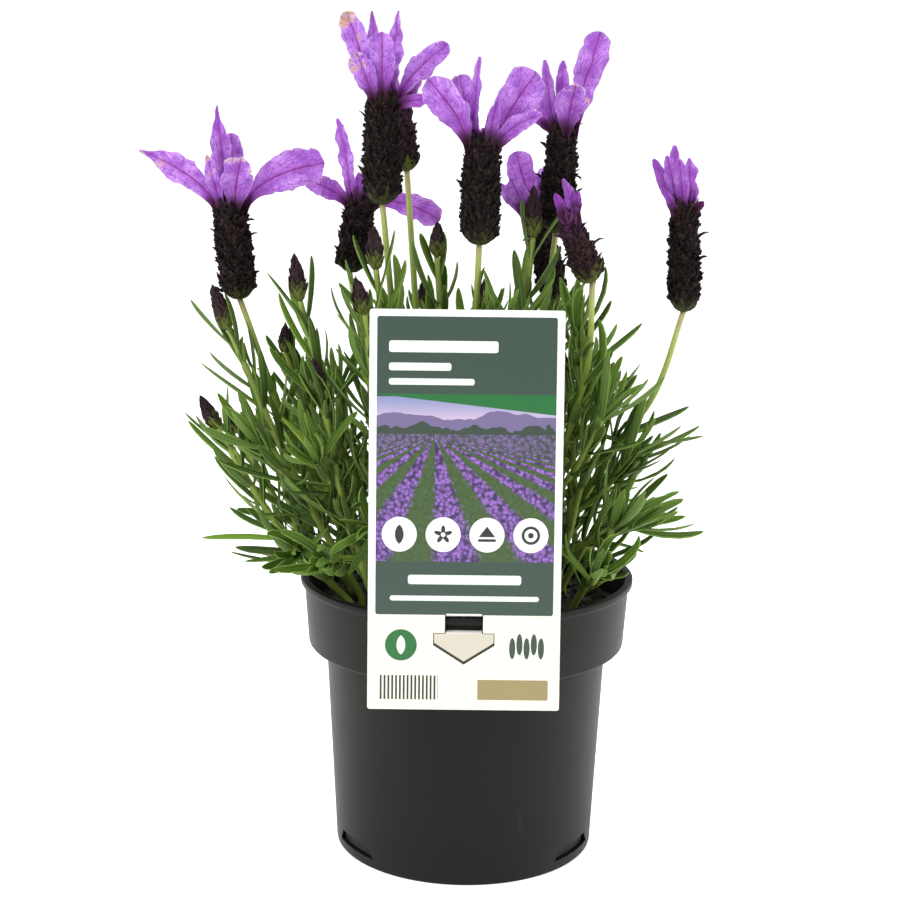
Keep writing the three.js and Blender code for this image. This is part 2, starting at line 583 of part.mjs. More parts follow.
// A leaf on a face of the stem, turned or lifted until it touches nothing, or null where it finds no room.
function findLeaf(node, { root, away, axis, side, size, pitch, droop, sway, width }) {
  for (const [swayBy, pitchBy] of [[0, 0], [18, 0], [-18, 0], [0, -14], [34, -6], [-34, -6], [0, 14]]) {
    const rise = THREE.MathUtils.degToRad(pitch + pitchBy);
    const swing = THREE.MathUtils.degToRad(sway + swayBy);
    const outward = away.clone().multiplyScalar(Math.cos(swing)).addScaledVector(side, Math.sin(swing));
    const along = axis.clone().multiplyScalar(Math.cos(rise)).addScaledVector(outward, Math.sin(rise));
    const leaf = { root, along: along.normalize(), side, length: size, width, droop };
    const tipHeight = root.z + (along.z - droop) * size;
    if (tipHeight > SOIL.level + LEAF.aboveMix && hasRoom(leaf, node)) return leaf;
  }
  return null;
}

// How a leaf is held: its size, the angle from its stem, how it droops and how far it sways to one side, in
// degrees. roll gives a number from 0 to 1 for each property. The leaves of a tuft stand close and upright.
function leafHabit(inTuft, face, roll) {
  const { lerp } = THREE.MathUtils;
  const size = lerp(LEAVES.shortest, LEAVES.longest, roll(face));
  const pitch = roll(face + 5);
  const droop = LEAVES.droop * (roll(face + 9) - 0.3);
  return {
    size: inTuft ? size * 0.75 : size,
    pitch: inTuft ? lerp(12, 26, pitch) : lerp(LEAVES.steepest, LEAVES.flattest, pitch),
    droop: inTuft ? 0.04 : droop,
    sway: LEAVES.sway * (2 * roll(face + 13) - 1),
    width: LEAF.width * (0.8 + 0.4 * roll(face + 17)),
  };
}

// Where a stem has its leaves: a share of its length, and which of its four faces carry one.
function leafPlan(length, [from, to], hasTuft) {
  const pairs = Math.max(2, Math.round((length * (to - from)) / LEAVES.pairStep));
  const plan = Array.from({ length: pairs }, (_, pair) => (
    { share: from + ((to - from) * (pair + 0.5)) / pairs, faces: pair % 2 === 0 ? [0, 2] : [1, 3] }));
  if (hasTuft) plan.push({ share: 1 - STEM.node / length, faces: [0, 1, 2, 3], tuft: true });
  return plan;
}

// Grows one stem from an open loop along a curve, with its leaves, and then its branches.
function growStem(body, loop, stem, seed) {
  const { curve, begin, side: firstSide, footHalf, topHalf, plan, branches, node } = stem;
  const length = curve.getLength();
  const halfNode = STEM.node / 2 / length;
  const marks = [
    ...plan.map((mark) => ({ ...mark, kind: 'leaves' })),
    ...branches.map((branch) => ({ ...branch, kind: 'branch' })),
  ].sort((a, b) => a.share - b.share);
  let side = firstSide.clone();
  const frameAt = (share) => {
    const axis = curve.getTangentAt(share);
    side = side.clone().addScaledVector(axis, -side.dot(axis)).normalize();
    return { centre: curve.getPointAt(share), axis, side, up: new THREE.Vector3().crossVectors(axis, side) };
  };
  const halfAt = (share) => THREE.MathUtils.lerp(footHalf, topHalf, share);
  const ringAt = (share) => {
    const frame = frameAt(share);
    return square(frame.centre, frame.side, frame.up, halfAt(share));
  };
  let open = body.carry(loop, ringAt(begin));
  let reached = begin;
  const plainTo = (share) => {
    const spans = Math.max(1, Math.ceil(((share - reached) * length) / STEM.stride));
    const from = reached;
    for (let i = 1; i <= spans; i += 1) {
      open = body.carry(open, ringAt(from + ((share - from) * i) / spans));
    }
    reached = share;
  };
  const later = [];
  marks.forEach((mark, index) => {
    plainTo(mark.share - halfNode);
    const low = open;
    const frame = frameAt(mark.share);
    const end = Math.min(mark.share + halfNode, 0.9995);
    const high = body.add(ringAt(end));
    const roll = (n) => hash(seed * 3.1 + n, index * 1.7 + 0.5);
    for (let i = 0; i < 4; i += 1) {
      const next = (i + 1) % 4;
      const [a, b, c, d] = [low[i], low[next], high[next], high[i]];
      const lateral = body.vertices[c].clone().sub(body.vertices[d]).normalize();
      const away = new THREE.Vector3().crossVectors(lateral, frame.axis).normalize();
      const root = average([body.vertices[c], body.vertices[d]]);
      if (mark.kind === 'branch' && i === mark.face) {
        later.push({ loop: [a, b, c, d], side: lateral, branch: mark });
        continue;
      }
      const wanted = mark.kind === 'leaves' && mark.faces.includes(i);
      const leaf = wanted
        ? findLeaf(node, { root, away, axis: frame.axis, side: lateral, ...leafHabit(mark.tuft, i, roll) })
        : null;
      body.face(a, b, c);
      if (leaf) {
        const { ring, tip } = leafStations(leaf, 0);
        const [middle, outer] = [ring(0.36, 1), ring(0.72, 0.8)];
        body.close(body.carry(body.carry([a, c, d], middle), outer), tip);
        const face = [a, c, d].map((corner) => body.vertices[corner]);
        occupy(node, toSolid(skin([face, middle, outer], average(face), tip)));
      } else {
        body.face(a, c, d);
      }
    }
    open = high;
    reached = end;
  });
  if (reached < 0.999) plainTo(1);
  body.close(open, curve.getPointAt(1).addScaledVector(curve.getTangentAt(1), topHalf * STEM.tipReach));
  later.forEach(({ loop: hole, side: lateral, branch }, i) => growStem(body, hole, {
    curve: branch.curve,
    begin: 3 * STEM.top / branch.curve.getLength(),
    side: lateral,
    footHalf: topHalf,
    topHalf: STEM.branchTop,
    plan: branch.plan,
    branches: [],
    node,
  }, seed + 40 + i));
}

// A plain square rod along a curve, a little wider than the stem, that keeps room for it.
function rod(curve, from, footHalf, topHalf) {
  const spans = Math.max(3, Math.round(curve.getLength() / STEM.roomStride));
  let side = new THREE.Vector3(1, 0, 0);
  const rings = Array.from({ length: spans + 1 }, (_, j) => {
    const share = from + ((1 - from) * j) / spans;
    const axis = curve.getTangentAt(share);
    side = side.clone().addScaledVector(axis, -side.dot(axis)).normalize();
    const up = new THREE.Vector3().crossVectors(axis, side);
    const half = THREE.MathUtils.lerp(footHalf, topHalf, share) + STEM.room;
    return square(curve.getPointAt(share), side, up, half);
  });
  const first = curve.getPointAt(from).addScaledVector(curve.getTangentAt(from), -footHalf);
  const last = curve.getPointAt(1).addScaledVector(curve.getTangentAt(1), topHalf * STEM.tipReach);
  return toSolid(skin(rings, first, last));
}

// Where a stem's last ring lies, so that the point above it stands just clear in the hollow of what it
// carries.
function stemEnd(foot, top, socket) {
  const axis = point(top).sub(point(foot)).normalize();
  return point(foot).addScaledVector(axis, socket - STEM.top * STEM.tipReach - GAP - 0.05);
}

function shootCurve({ foot, via, flower, bud }) {
  const bends = via.map(point);
  if (flower !== undefined) bends.push(stemEnd(FLOWERS[flower].foot, FLOWERS[flower].top, SPIKE.socket));
  if (bud !== undefined) bends.push(stemEnd(...BUDS[bud], BUD.socket));
  const start = new THREE.Vector3(...foot, SOIL.level + SOIL.stemRise);
  return new THREE.CatmullRomCurve3([start, ...bends], false, 'catmullrom', 0.5);
}

// The straight foot of a stem, below its curve: a square at a depth in the mix, turned as the stem is.
function footSquare([x, y], height, side, half) {
  const up = new THREE.Vector3(-side.y, side.x, 0);
  return square(new THREE.Vector3(x, y, height), side, up, half);
}

// A branch leaves the stem face that looks its way and bends over to its own tip.
function branchCurve(main, share, end, root, away) {
  const reach = root.distanceTo(point(end));
  const start = main.getTangentAt(share).multiplyScalar(0.6).add(away).normalize();
  return new THREE.QuadraticBezierCurve3(root, root.clone().addScaledVector(start, reach * 0.4), point(end));
}

// ---------------------------------------------------------------- put it together
const pot = makePot();
let mix = makeMix();
const card = makeCard();
occupy('pot', pot);
occupy('label', card);

FLOWERS.forEach((flower, k) => {
  const girth = spikeGirth(flower.radius);
  const body = scalyBody(point(flower.foot), point(flower.top), girth, SPIKE, k * 17);
  occupy(`spike_${k + 1}`, toSolid(body));
  place(`spike_${k + 1}`, body, SPIKE_SCALES);
  const crest = makeCrest(flower, k + 1);
  occupy(`crest_${k + 1}`, crest);
  place(`crest_${k + 1}`, toGeometry(crest), PETALS);
});

BUDS.forEach(([foot, tip], k) => {
  const body = scalyBody(point(foot), point(tip), budGirth, BUD, k * 29);
  occupy(`bud_${k + 1}`, toSolid(body));
  place(`bud_${k + 1}`, body, BUD_SCALES);
});

// All stems come first, each in its own plain hole in the mix, and then the leaves find their room.
// The four faces' directions in a stem's own side and up.
const FACE_WAYS = [[0, -1], [1, 0], [0, 1], [-1, 0]];

const grown = SHOOTS.map((shoot, k) => {
  const node = `shoot_${k + 1}`;
  const curve = shootCurve(shoot);
  const twist = hash(k, 3) * Math.PI;
  const side = new THREE.Vector3(Math.cos(twist), Math.sin(twist), 0);
  const stem = rod(curve, 0, STEM.foot, STEM.top);
  occupy(node, stem);
  const hole = [SOIL.level - SOIL.stemDepth - GAP, SOIL.level + 2 * SOIL.stemRise]
    .map((z) => footSquare(shoot.foot, z, side, STEM.foot + GAP));
  mix = mix.subtract(toSolid(skin(hole, average(hole[0]), average(hole[1]))));
  const branches = shoot.branches.map(([share, end]) => {
    const axis = curve.getTangentAt(share);
    const level = side.clone().addScaledVector(axis, -side.dot(axis)).normalize();
    const up = new THREE.Vector3().crossVectors(axis, level);
    const reach = point(end).sub(curve.getPointAt(share));
    const ways = FACE_WAYS.map(([x, y]) => level.clone().multiplyScalar(x).addScaledVector(up, y));
    const face = ways.reduce((best, way, i) => (way.dot(reach) > ways[best].dot(reach) ? i : best), 0);
    const root = curve.getPointAt(share).addScaledVector(ways[face], STEM.top);
    const branch = branchCurve(curve, share, end, root, ways[face]);
    occupy(node, rod(branch, 0.03, STEM.top, STEM.branchTop));
    return { share, face, curve: branch, plan: leafPlan(branch.getLength(), [0.3, 0.9], true) };
  });
  return { node, shoot, curve, side, branches };
});
occupy('potting_mix', mix);

grown.forEach(({ node, shoot, curve, side, branches }, k) => {
  const bare = shoot.flower === undefined && shoot.bud === undefined;
  const body = growth();
  const first = body.add(footSquare(shoot.foot, SOIL.level - SOIL.stemDepth, side, STEM.foot));
  const length = curve.getLength();
  const plan = leafPlan(length, [0.16, shoot.leafy], bare)
    .filter(({ share }) => branches.every((branch) => Math.abs(branch.share - share) * length > 4));
  const main = { curve, begin: 0, side, footHalf: STEM.foot, topHalf: STEM.top, plan, branches, node };
  growStem(body, first, main, k * 5 + 1);
  body.close([...first].reverse(), average(first.map((i) => body.vertices[i])));
  place(node, closedMesh(body.vertices, body.triangles), FOLIAGE);
});

place('pot', toGeometry(pot), PLASTIC);
place('potting_mix', toGeometry(mix), MIX);
place('label', toGeometry(card), PRINTED_CARD);

export default potted;
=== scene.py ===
# %% [markdown]
# # A crested lavender in its nursery pot
# The plant has stiff leafy stems, nearly black flower spikes topped by tufts of violet bracts, and a printed
# card hooked over the rim of a charcoal pot. The CAD model gives every piece its place. This script dresses
# each of its sixty nodes with one finer piece: the same stems, spikes and petals, with real sections, veins,
# wavy edges and finishes.

# %% Frame
import math

import bpy
import numpy as np
from mathutils import Matrix
from mathutils.geometry import tessellate_polygon


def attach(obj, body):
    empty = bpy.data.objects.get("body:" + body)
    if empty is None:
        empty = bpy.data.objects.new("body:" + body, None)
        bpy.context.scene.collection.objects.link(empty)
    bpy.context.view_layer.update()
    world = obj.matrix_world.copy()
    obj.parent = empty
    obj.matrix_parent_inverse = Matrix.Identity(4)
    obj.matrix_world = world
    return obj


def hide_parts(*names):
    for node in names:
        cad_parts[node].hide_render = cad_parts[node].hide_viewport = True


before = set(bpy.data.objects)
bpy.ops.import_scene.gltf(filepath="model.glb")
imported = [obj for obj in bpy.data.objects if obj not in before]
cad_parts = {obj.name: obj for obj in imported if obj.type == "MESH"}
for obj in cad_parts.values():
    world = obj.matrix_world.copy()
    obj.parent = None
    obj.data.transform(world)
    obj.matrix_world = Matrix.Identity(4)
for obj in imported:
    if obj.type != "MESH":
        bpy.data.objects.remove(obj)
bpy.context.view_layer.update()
MM = 0.001  # the tables and shapes below are in millimetres, and Blender works in metres
print("CAD nodes:", len(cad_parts))

# %% [markdown]
# ## Camera
# The photograph was taken with a long lens from a little above the flowers, looking down by eleven degrees.
# Setting such a camera by eye takes many tries, so its place and lens come from a fit to the ellipses of the
# pot's rim, collar and foot and to the card's edges. It is also turned by 0.64 degrees about its own axis.

# %% Camera
CAMERA_PLACE = (-7.7, -730.7, 317.5)
CAMERA_PITCH, CAMERA_ROLL = math.radians(90 - 11.27), math.radians(0.64)
SENSOR = 36
FOCAL_PIXELS, FRAME_PIXELS = 1758.9, 900  # the fitted focal length and the width of the frame it is fitted on
LENS = SENSOR * FOCAL_PIXELS / FRAME_PIXELS

camera = bpy.data.objects.new("camera", bpy.data.cameras.new("camera"))
camera.data.lens = LENS
camera.data.sensor_width = SENSOR
camera.data.clip_start, camera.data.clip_end = 0.01, 100
turn = Matrix.Rotation(CAMERA_PITCH, 4, "X") @ Matrix.Rotation(CAMERA_ROLL, 4, "Z")
camera.matrix_world = Matrix.Translation([c * MM for c in CAMERA_PLACE]) @ turn
bpy.context.scene.collection.objects.link(camera)
bpy.context.scene.camera = camera
print("lens, mm:", round(LENS, 1))

# %% [markdown]
# ## Layout
# These are the plant's own measures in millimetres, the same as the CAD model's but for the eighth head's
# three bracts, which are a millimetre narrower here. They could be drawn at random, but then no head would
# stand where the photographed one does. An open head has the foot and top of its dark spike, the spike's
# radius, and its violet bracts, each as the place of its tip and its width. A bud has its foot and tip. A
# shoot starts in the soil, passes through its bends, and ends in a head, in a bud or in a tuft of leaves. A
# branch leaves it at a share of its length and has the place of its end.

# %% Layout of heads, buds and shoots
FLOWERS = [
    dict(foot=(-95, -8, 236), top=(-99, -8, 275), radius=8.2, petals=[
        (-134, -14, 296, 10), (-104, -4, 314, 8), (-99, 5, 303, 8), (-92, -22, 294, 11), (-60, -12, 292, 14),
        (-107, -15, 294, 5)]),
    dict(foot=(-52, 30, 244), top=(-47, 32, 275), radius=7.6, petals=[
        (-70, 24, 283, 8), (-58, 34, 309, 6), (-13, 30, 267, 10), (-48, 24, 286, 4), (-38, 46, 292, 8)]),
    dict(foot=(-36, -18, 276), top=(-36, -18, 319), radius=8.4, petals=[
        (-51, -15, 351, 9), (-41, -9, 352, 7), (-36, -27, 343, 9), (-30, -11, 352, 7), (-10, -16, 339, 8),
        (-17, -25, 317, 5), (-46, -29, 334, 8)]),
    dict(foot=(-27, 12, 288), top=(-30, 12, 319), radius=5.2, petals=[
        (-36, 20, 334, 6), (-24, 16, 335, 6), (-22, 4, 328, 6)]),
    dict(foot=(3, -28, 261), top=(4, -28, 302), radius=8.5, petals=[
        (-18, -34, 325, 12), (-7, -21, 327, 10), (2, -29, 334, 4), (9, -37, 317, 5), (25, -28, 328, 14),
        (25, -40, 312, 7)]),
    dict(foot=(35, 0, 264), top=(37, 0, 307), radius=8, petals=[
        (52, 0, 345, 12), (28, 5, 334, 5), (37, 9, 334, 5), (28, 10, 324, 8), (41, -13, 324, 11),
        (25, -5, 310, 4)]),
    dict(foot=(89, 0, 232), top=(88, 0, 275), radius=7, petals=[
        (83, 5, 300, 6), (74, -2, 294, 5), (79, -7, 295, 6), (90, 3, 295, 7), (84, -9, 294, 6),
        (78, -8, 282, 4), (95, -5, 278, 4)]),
    dict(foot=(49, -22, 246), top=(38, -22, 272), radius=6.4, petals=[
        (37, -20, 287, 6), (42, -19, 282, 4), (33, -26, 281, 4)]),
    dict(foot=(38, 32, 233), top=(27, 32, 272), radius=6.6, petals=[
        (19, 38, 296, 11), (17, 27, 284, 8), (12, 30, 282, 5), (29, 25, 287, 6), (33, 40, 289, 8)]),
]
BUDS = [
    ((-99, -14, 224), (-105, -14, 241)), ((-69, -22, 237), (-71, -22, 254)),
    ((-104, -16, 183), (-110, -16, 195)), ((25, -14, 263), (25, -14, 282)),
    ((-14, -6, 254), (-14, -6, 267)), ((-38, -30, 251), (-39, -30, 267)),
    ((-42, -40, 234), (-45, -40, 247)), ((7, 10, 230), (6, 10, 242)),
    ((-19, 18, 229), (-20, 18, 240)), ((-59, -38, 202), (-62, -38, 214)),
    ((-97, 2, 178), (-103, 2, 189)), ((-79, 20, 210), (-79, 20, 221)),
]
SHOOTS = [
    dict(foot=(-36, -6), via=[(-60, -6, 150), (-77, -6, 185)], flower=0, leafy=0.72,
         branches=[(0.35, (-68, 12, 190))]),
    dict(foot=(-24, 22), via=[(-38, 26, 170)], flower=1, leafy=0.8, branches=[(0.3, (-58, 40, 190))]),
    dict(foot=(-14, -10), via=[(-27, -16, 190)], flower=2, leafy=0.72, branches=[(0.35, (-26, -26, 208))]),
    dict(foot=(-9, 3), via=[(-20, 8, 200)], flower=3, leafy=0.62, branches=[]),
    dict(foot=(3, -14), via=[(1, -24, 190)], flower=4, leafy=0.8, branches=[(0.4, (14, -34, 226))]),
    dict(foot=(15, -2), via=[(27, -1, 190)], flower=5, leafy=0.78, branches=[(0.4, (44, -8, 224))]),
    dict(foot=(31, 2), via=[(56, 0, 164), (78, 0, 197)], flower=6, leafy=0.6,
         branches=[(0.3, (67, -9, 172))]),
    dict(foot=(24, -15), via=[(40, -19, 180), (48, -21, 212)], flower=7, leafy=0.72,
         branches=[(0.35, (54, -30, 192))]),
    dict(foot=(17, 18), via=[(32, 28, 180)], flower=8, leafy=0.8, branches=[(0.4, (40, 44, 216))]),
    dict(foot=(-44, -16), via=[(-72, -20, 165)], bud=0, leafy=0.9, branches=[(0.4, (-84, -36, 180))]),
    dict(foot=(-31, -19), via=[(-52, -22, 175)], bud=1, leafy=0.9, branches=[(0.35, (-60, -46, 176))]),
    dict(foot=(-48, -25), via=[(-78, -23, 143)], bud=2, leafy=0.92, branches=[(0.3, (-68, -41, 138))]),
    dict(foot=(9, -8), via=[(18, -12, 185)], bud=3, leafy=0.86, branches=[]),
    dict(foot=(-4, -3), via=[(-9, -5, 185)], bud=4, leafy=0.88, branches=[]),
    dict(foot=(-19, -20), via=[(-30, -27, 185)], bud=5, leafy=0.88, branches=[]),
    dict(foot=(-22, -31), via=[(-34, -38, 170)], bud=6, leafy=0.9, branches=[(0.3, (-38, -55, 150))]),
    dict(foot=(5, 9), via=[(6, 10, 170)], bud=7, leafy=0.9, branches=[]),
    dict(foot=(-10, 15), via=[(-15, 17, 170)], bud=8, leafy=0.9, branches=[(0.4, (-14, 36, 204))]),
    dict(foot=(-37, -33), via=[(-50, -37, 155)], bud=9, leafy=0.92, branches=[(0.25, (-56, -54, 136))]),
    dict(foot=(-50, 4), via=[(-78, 3, 143)], bud=10, leafy=0.92, branches=[(0.25, (-70, 18, 138))]),
    dict(foot=(-38, 17), via=[(-61, 20, 165)], bud=11, leafy=0.9, branches=[(0.3, (-72, 38, 160))]),
    dict(foot=(36, -16), via=[(48, -13, 164), (54, -10, 192)], leafy=1,
         branches=[(0.25, (68, -26, 146)), (0.55, (47, -5, 208))]),
    dict(foot=(42, 8), via=[(58, 8, 142), (66, 7, 160)], leafy=1, branches=[(0.3, (68, 22, 136))]),
    dict(foot=(31, 26), via=[(43, 31, 160), (51, 33, 186)], leafy=1, branches=[(0.3, (58, 48, 144))]),
    dict(foot=(8, 34), via=[(11, 46, 160), (14, 54, 200)], leafy=1,
         branches=[(0.25, (28, 66, 146)), (0.3, (-8, 64, 160))]),
    dict(foot=(-20, 38), via=[(-30, 50, 160), (-36, 57, 196)], leafy=1, branches=[(0.25, (-48, 66, 144))]),
    dict(foot=(44, -26), via=[(54, -32, 132), (59, -36, 148)], leafy=1, branches=[(0.3, (52, -52, 132))]),
]
print(len(FLOWERS), "heads,", len(BUDS), "buds,", len(SHOOTS), "shoots")

# %% [markdown]
# ## Shader maths as Python
# A finish is a small graph of nodes. Wiring nodes by hand hides what they work out, so a socket is wrapped
# in a class that knows the arithmetic signs: `1 - mask` adds a Math node and gives its output. Every other
# kind of node comes from one method, which sets the node's settings first and its sockets after them.

# %% Sockets
class Socket:
    """A node's output. The signs + - * / ** > and < on it add Math nodes to its finish."""

    def __init__(self, finish, output):
        self.finish, self.output = finish, output

    def math(self, operation, a, b):
        return self.finish.node("Math", {"operation": operation}, {0: a, 1: b})

    def __add__(self, other):
        return self.math("ADD", self, other)

    def __sub__(self, other):
        return self.math("SUBTRACT", self, other)

    def __rsub__(self, other):
        return self.math("SUBTRACT", other, self)

    def __mul__(self, other):
        return self.math("MULTIPLY", self, other)

    def __truediv__(self, other):
        return self.math("DIVIDE", self, other)

    def __pow__(self, other):
        return self.math("POWER", self, other)

    def __gt__(self, other):
        return self.math("GREATER_THAN", self, other)

    def __lt__(self, other):
        return self.math("LESS_THAN", self, other)

    __radd__, __rmul__ = __add__, __mul__


print("a socket's methods:", [name for name, value in vars(Socket).items() if callable(value)])

# %% Finishes
class Finish:
    """One material. node() makes its nodes, and surface() feeds its Principled shader."""

    def __init__(self, name):
        self.material = bpy.data.materials.new(name)
        self.material.use_nodes = True
        self.tree = self.material.node_tree
        self.shader = self.tree.nodes["Principled BSDF"]

    def feed(self, socket, value):
        """Links a socket's output, or sets a plain value. A colour of three numbers gets an alpha of 1."""
        if isinstance(value, Socket):
            self.tree.links.new(value.output, socket)
        elif socket.type == "RGBA" and len(value) == 3:
            socket.default_value = (*value, 1)
        else:
            socket.default_value = value

    def node(self, kind, settings, sockets, output=0):
        """Makes any node: first its settings, such as an operation or a ramp's stops, then its sockets."""
        made = self.tree.nodes.new("ShaderNode" + kind)
        for name, value in settings.items():
            if name == "stops":
                ramp = made.color_ramp
                while len(ramp.elements) < len(value):
                    ramp.elements.new(1)
                for element, (place, color) in zip(ramp.elements, value):
                    element.position, element.color = place, (*color, 1)
            else:
                setattr(made, name, value)
        for key, value in sockets.items():
            self.feed(made.inputs[key], value)
        return Socket(self, made.outputs[output])

    def blend(self, share, a, b):
        """Colour a where share is 0, and b where it is 1."""
        settings = {"data_type": "RGBA", "clamp_factor": True}
        return self.node("Mix", settings, {0: share, 6: a, 7: b}, 2)

    def ramp(self, value, *stops):
        return self.node("ValToRGB", {"stops": stops}, {"Fac": value})

    def span(self, value, low, high, to_low=0.0, to_high=1.0):
        """value from low to high, as a smooth rise from to_low to to_high."""
        settings = {"interpolation_type": "SMOOTHSTEP"}
        return self.node("MapRange", settings, {0: value, 1: low, 2: high, 3: to_low, 4: to_high})

    def absolute(self, value):
        return self.node("Math", {"operation": "ABSOLUTE"}, {0: value})

    def most(self, a, b):
        return self.node("Math", {"operation": "MAXIMUM"}, {0: a, 1: b})

    def place(self, kind="Object"):
        """Object coordinates, which are in metres, or the piece's UV."""
        return self.node("TexCoord", {}, {}, kind)

    def axes(self, vector):
        return [self.node("SeparateXYZ", {}, {0: vector}, i) for i in range(3)]

    def stretched(self, vector, scale):
        return self.node("Mapping", {}, {"Vector": vector, "Scale": scale})

    def noise(self, vector, scale, detail=4.0, rough=0.55):
        return self.node("TexNoise", {}, {"Vector": vector, "Scale": scale, "Detail": detail,
                                          "Roughness": rough})

    def cells(self, vector, scale, feature="DISTANCE_TO_EDGE"):
        return self.node("TexVoronoi", {"feature": feature}, {"Vector": vector, "Scale": scale})

    def tint(self):
        """The three shares that a piece's mesh stores at each vertex, under the name tint."""
        color = self.node("Attribute", {"attribute_name": "tint"}, {}, "Color")
        return [self.node("SeparateColor", {}, {0: color}, i) for i in range(3)]

    def bump(self, height, strength, distance):
        return self.node("Bump", {}, {"Height": height, "Strength": strength, "Distance": distance})

    def surface(self, **values):
        """Feeds the shader's sockets. Base_Color stands for Base Color."""
        for name, value in values.items():
            self.feed(self.shader.inputs[name.replace("_", " ")], value)
        return self.material


print("shader helpers:", [name for name in vars(Finish) if not name.startswith("_")])

# %% [markdown]
# ## Meshes from whole arrays
# A leaf, a stem and a scale are all rings of points carried along a line, and a petal is a sheet of points.
# Blender could instance one leaf a thousand times, but then no two could bend apart. So each shape is worked
# out as one numpy array of the size (copies, rings, points, 3), and a thousand different leaves cost as
# little code as one. A Body gathers such arrays and turns them into one Blender mesh.

# %% Vectors
def unit(vectors):
    """Each vector over its own length."""
    return vectors / np.linalg.norm(vectors, axis=-1, keepdims=True)


def dot(a, b):
    """The dot product of each pair, kept as an axis of one."""
    return np.sum(a * b, axis=-1, keepdims=True)


def smooth(x, low=0.0, high=1.0):
    """A rise from 0 at low to 1 at high, level at both ends: 3t^2 - 2t^3."""
    t = np.clip((x - low) / (high - low), 0, 1)
    return t * t * (3 - 2 * t)


print("halfway up a smooth rise:", smooth(0.5))

# %% Bodies
class Body:
    """Vertices in millimetres, faces of any number of corners, and for each vertex a UV and a tint."""

    def __init__(self):
        self.points, self.uvs, self.tints, self.faces, self.count = [], [], [], [], 0

    def add(self, points, faces, uv, tint, material=0):
        """points is (n, 3); faces is a list of (m, corners) arrays; uv and tint spread over the points."""
        points = points.reshape(-1, 3)
        self.points.append(points)
        self.uvs.append(np.broadcast_to(uv, (len(points), 2)))
        self.tints.append(np.broadcast_to(tint, (len(points), 3)))
        self.faces += [(f + self.count, material) for f in faces]
        self.count += len(points)

    def object(self, name, materials, is_smooth=True):
        """One mesh object of all that was added, with its place in its mesh and itself at the origin."""
        mesh = bpy.data.meshes.new(name)
        points = np.concatenate(self.points) * MM
        corners = np.concatenate([f.ravel() for f, _ in self.faces])
        sizes = np.concatenate([np.full(len(f), f.shape[1]) for f, _ in self.faces])
        mesh.vertices.add(len(points))
        mesh.vertices.foreach_set("co", points.astype(np.float32).ravel())
        mesh.loops.add(len(corners))
        mesh.loops.foreach_set("vertex_index", corners.astype(np.int32))
        mesh.polygons.add(len(sizes))
        starts = np.concatenate([[0], np.cumsum(sizes)[:-1]])
        mesh.polygons.foreach_set("loop_start", starts.astype(np.int32))
        slots = np.concatenate([np.full(len(f), m) for f, m in self.faces])
        mesh.polygons.foreach_set("material_index", slots.astype(np.int32))
        mesh.update(calc_edges=True)
        mesh.validate()
        if is_smooth:
            mesh.shade_smooth()
        else:
            mesh.shade_flat()
        uv = np.concatenate(self.uvs)[corners].astype(np.float32)
        mesh.uv_layers.new(name="UVMap").data.foreach_set("uv", uv.ravel())
        tint = np.concatenate(self.tints)
        rgba = np.concatenate([tint, np.ones((len(tint), 1))], axis=1).astype(np.float32)
        mesh.attributes.new("tint", "FLOAT_COLOR", "POINT").data.foreach_set("color", rgba.ravel())
        for material in materials:
            mesh.materials.append(material)
        made = bpy.data.objects.new(name, mesh)
        bpy.context.scene.collection.objects.link(made)
        return made


print("a body keeps:", [name for name in vars(Body()) if name != "count"])

# %% Faces and dressing
def tube_faces(copies, rings, sides, is_capped=True):
    """Quads between the rings of each copy, and a cap of one face on each of its two ends.
    Vertex (copy, ring, side) has the number copy * rings * sides + ring * sides + side."""
    start = np.arange(copies)[:, None, None] * rings * sides
    here = start + np.arange(rings - 1)[:, None] * sides + np.arange(sides)
    beside = start + np.arange(rings - 1)[:, None] * sides + (np.arange(sides) + 1) % sides
    quads = np.stack([here, beside, beside + sides, here + sides], axis=-1).reshape(-1, 4)
    if not is_capped:
        return [quads]
    around = np.arange(sides)
    low = start[:, 0] + around[::-1]
    high = start[:, 0] + (rings - 1) * sides + around
    return [quads, low, high]


def dress(made, slot, *nodes):
    """The piece rides with the pot and stands for its CAD nodes. The slot is not used."""
    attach(made, "root")
    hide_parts(*nodes)
    return made


print("faces of a closed box:", sum(len(f) for f in tube_faces(1, 2, 4)))

# %% [markdown]
# ## Charcoal plastic
# The pot is injection moulded, nearly black, with a fine grain that keeps its highlights soft and a few paler
# upright scuffs. A picture wrapped round it would need the pot unwrapped and would show its repeats. So it is
# all noise in the object's own coordinates: fine for the grain on the bump, drawn out upwards for the scuffs
# in colour and roughness, and wide for the clouds that hold them.

# %% Pot finish
PLASTIC = dict(dark=(0.005, 0.005, 0.004), cloudy=(0.009, 0.009, 0.008), scuffed=(0.045, 0.045, 0.042))


def pot_finish():
    """Charcoal, lighter in clouds about 45 mm wide, with upright scuffs inside the clouds."""
    finish = Finish("charcoal_plastic")
    place = finish.place()
    cloud = finish.noise(place, 22, 3)
    streak = finish.noise(finish.stretched(place, (260, 260, 30)), 1, 3)
    scuff = finish.span(streak, 0.62, 0.78) * finish.span(cloud, 0.45, 0.65)
    shade = finish.blend(cloud, PLASTIC["dark"], PLASTIC["cloudy"])
    color = finish.blend(scuff * 0.4, shade, PLASTIC["scuffed"])
    grain = finish.noise(place, 2600, 2) * 0.6 + cloud * 0.8
    return finish.surface(Base_Color=color, Roughness=0.40 + cloud * 0.12 + scuff * 0.15,
                          Normal=finish.bump(grain, 0.12, 0.0002), Specular_IOR_Level=0.15)


POT_PLASTIC = pot_finish()
print("finish:", POT_PLASTIC.name)

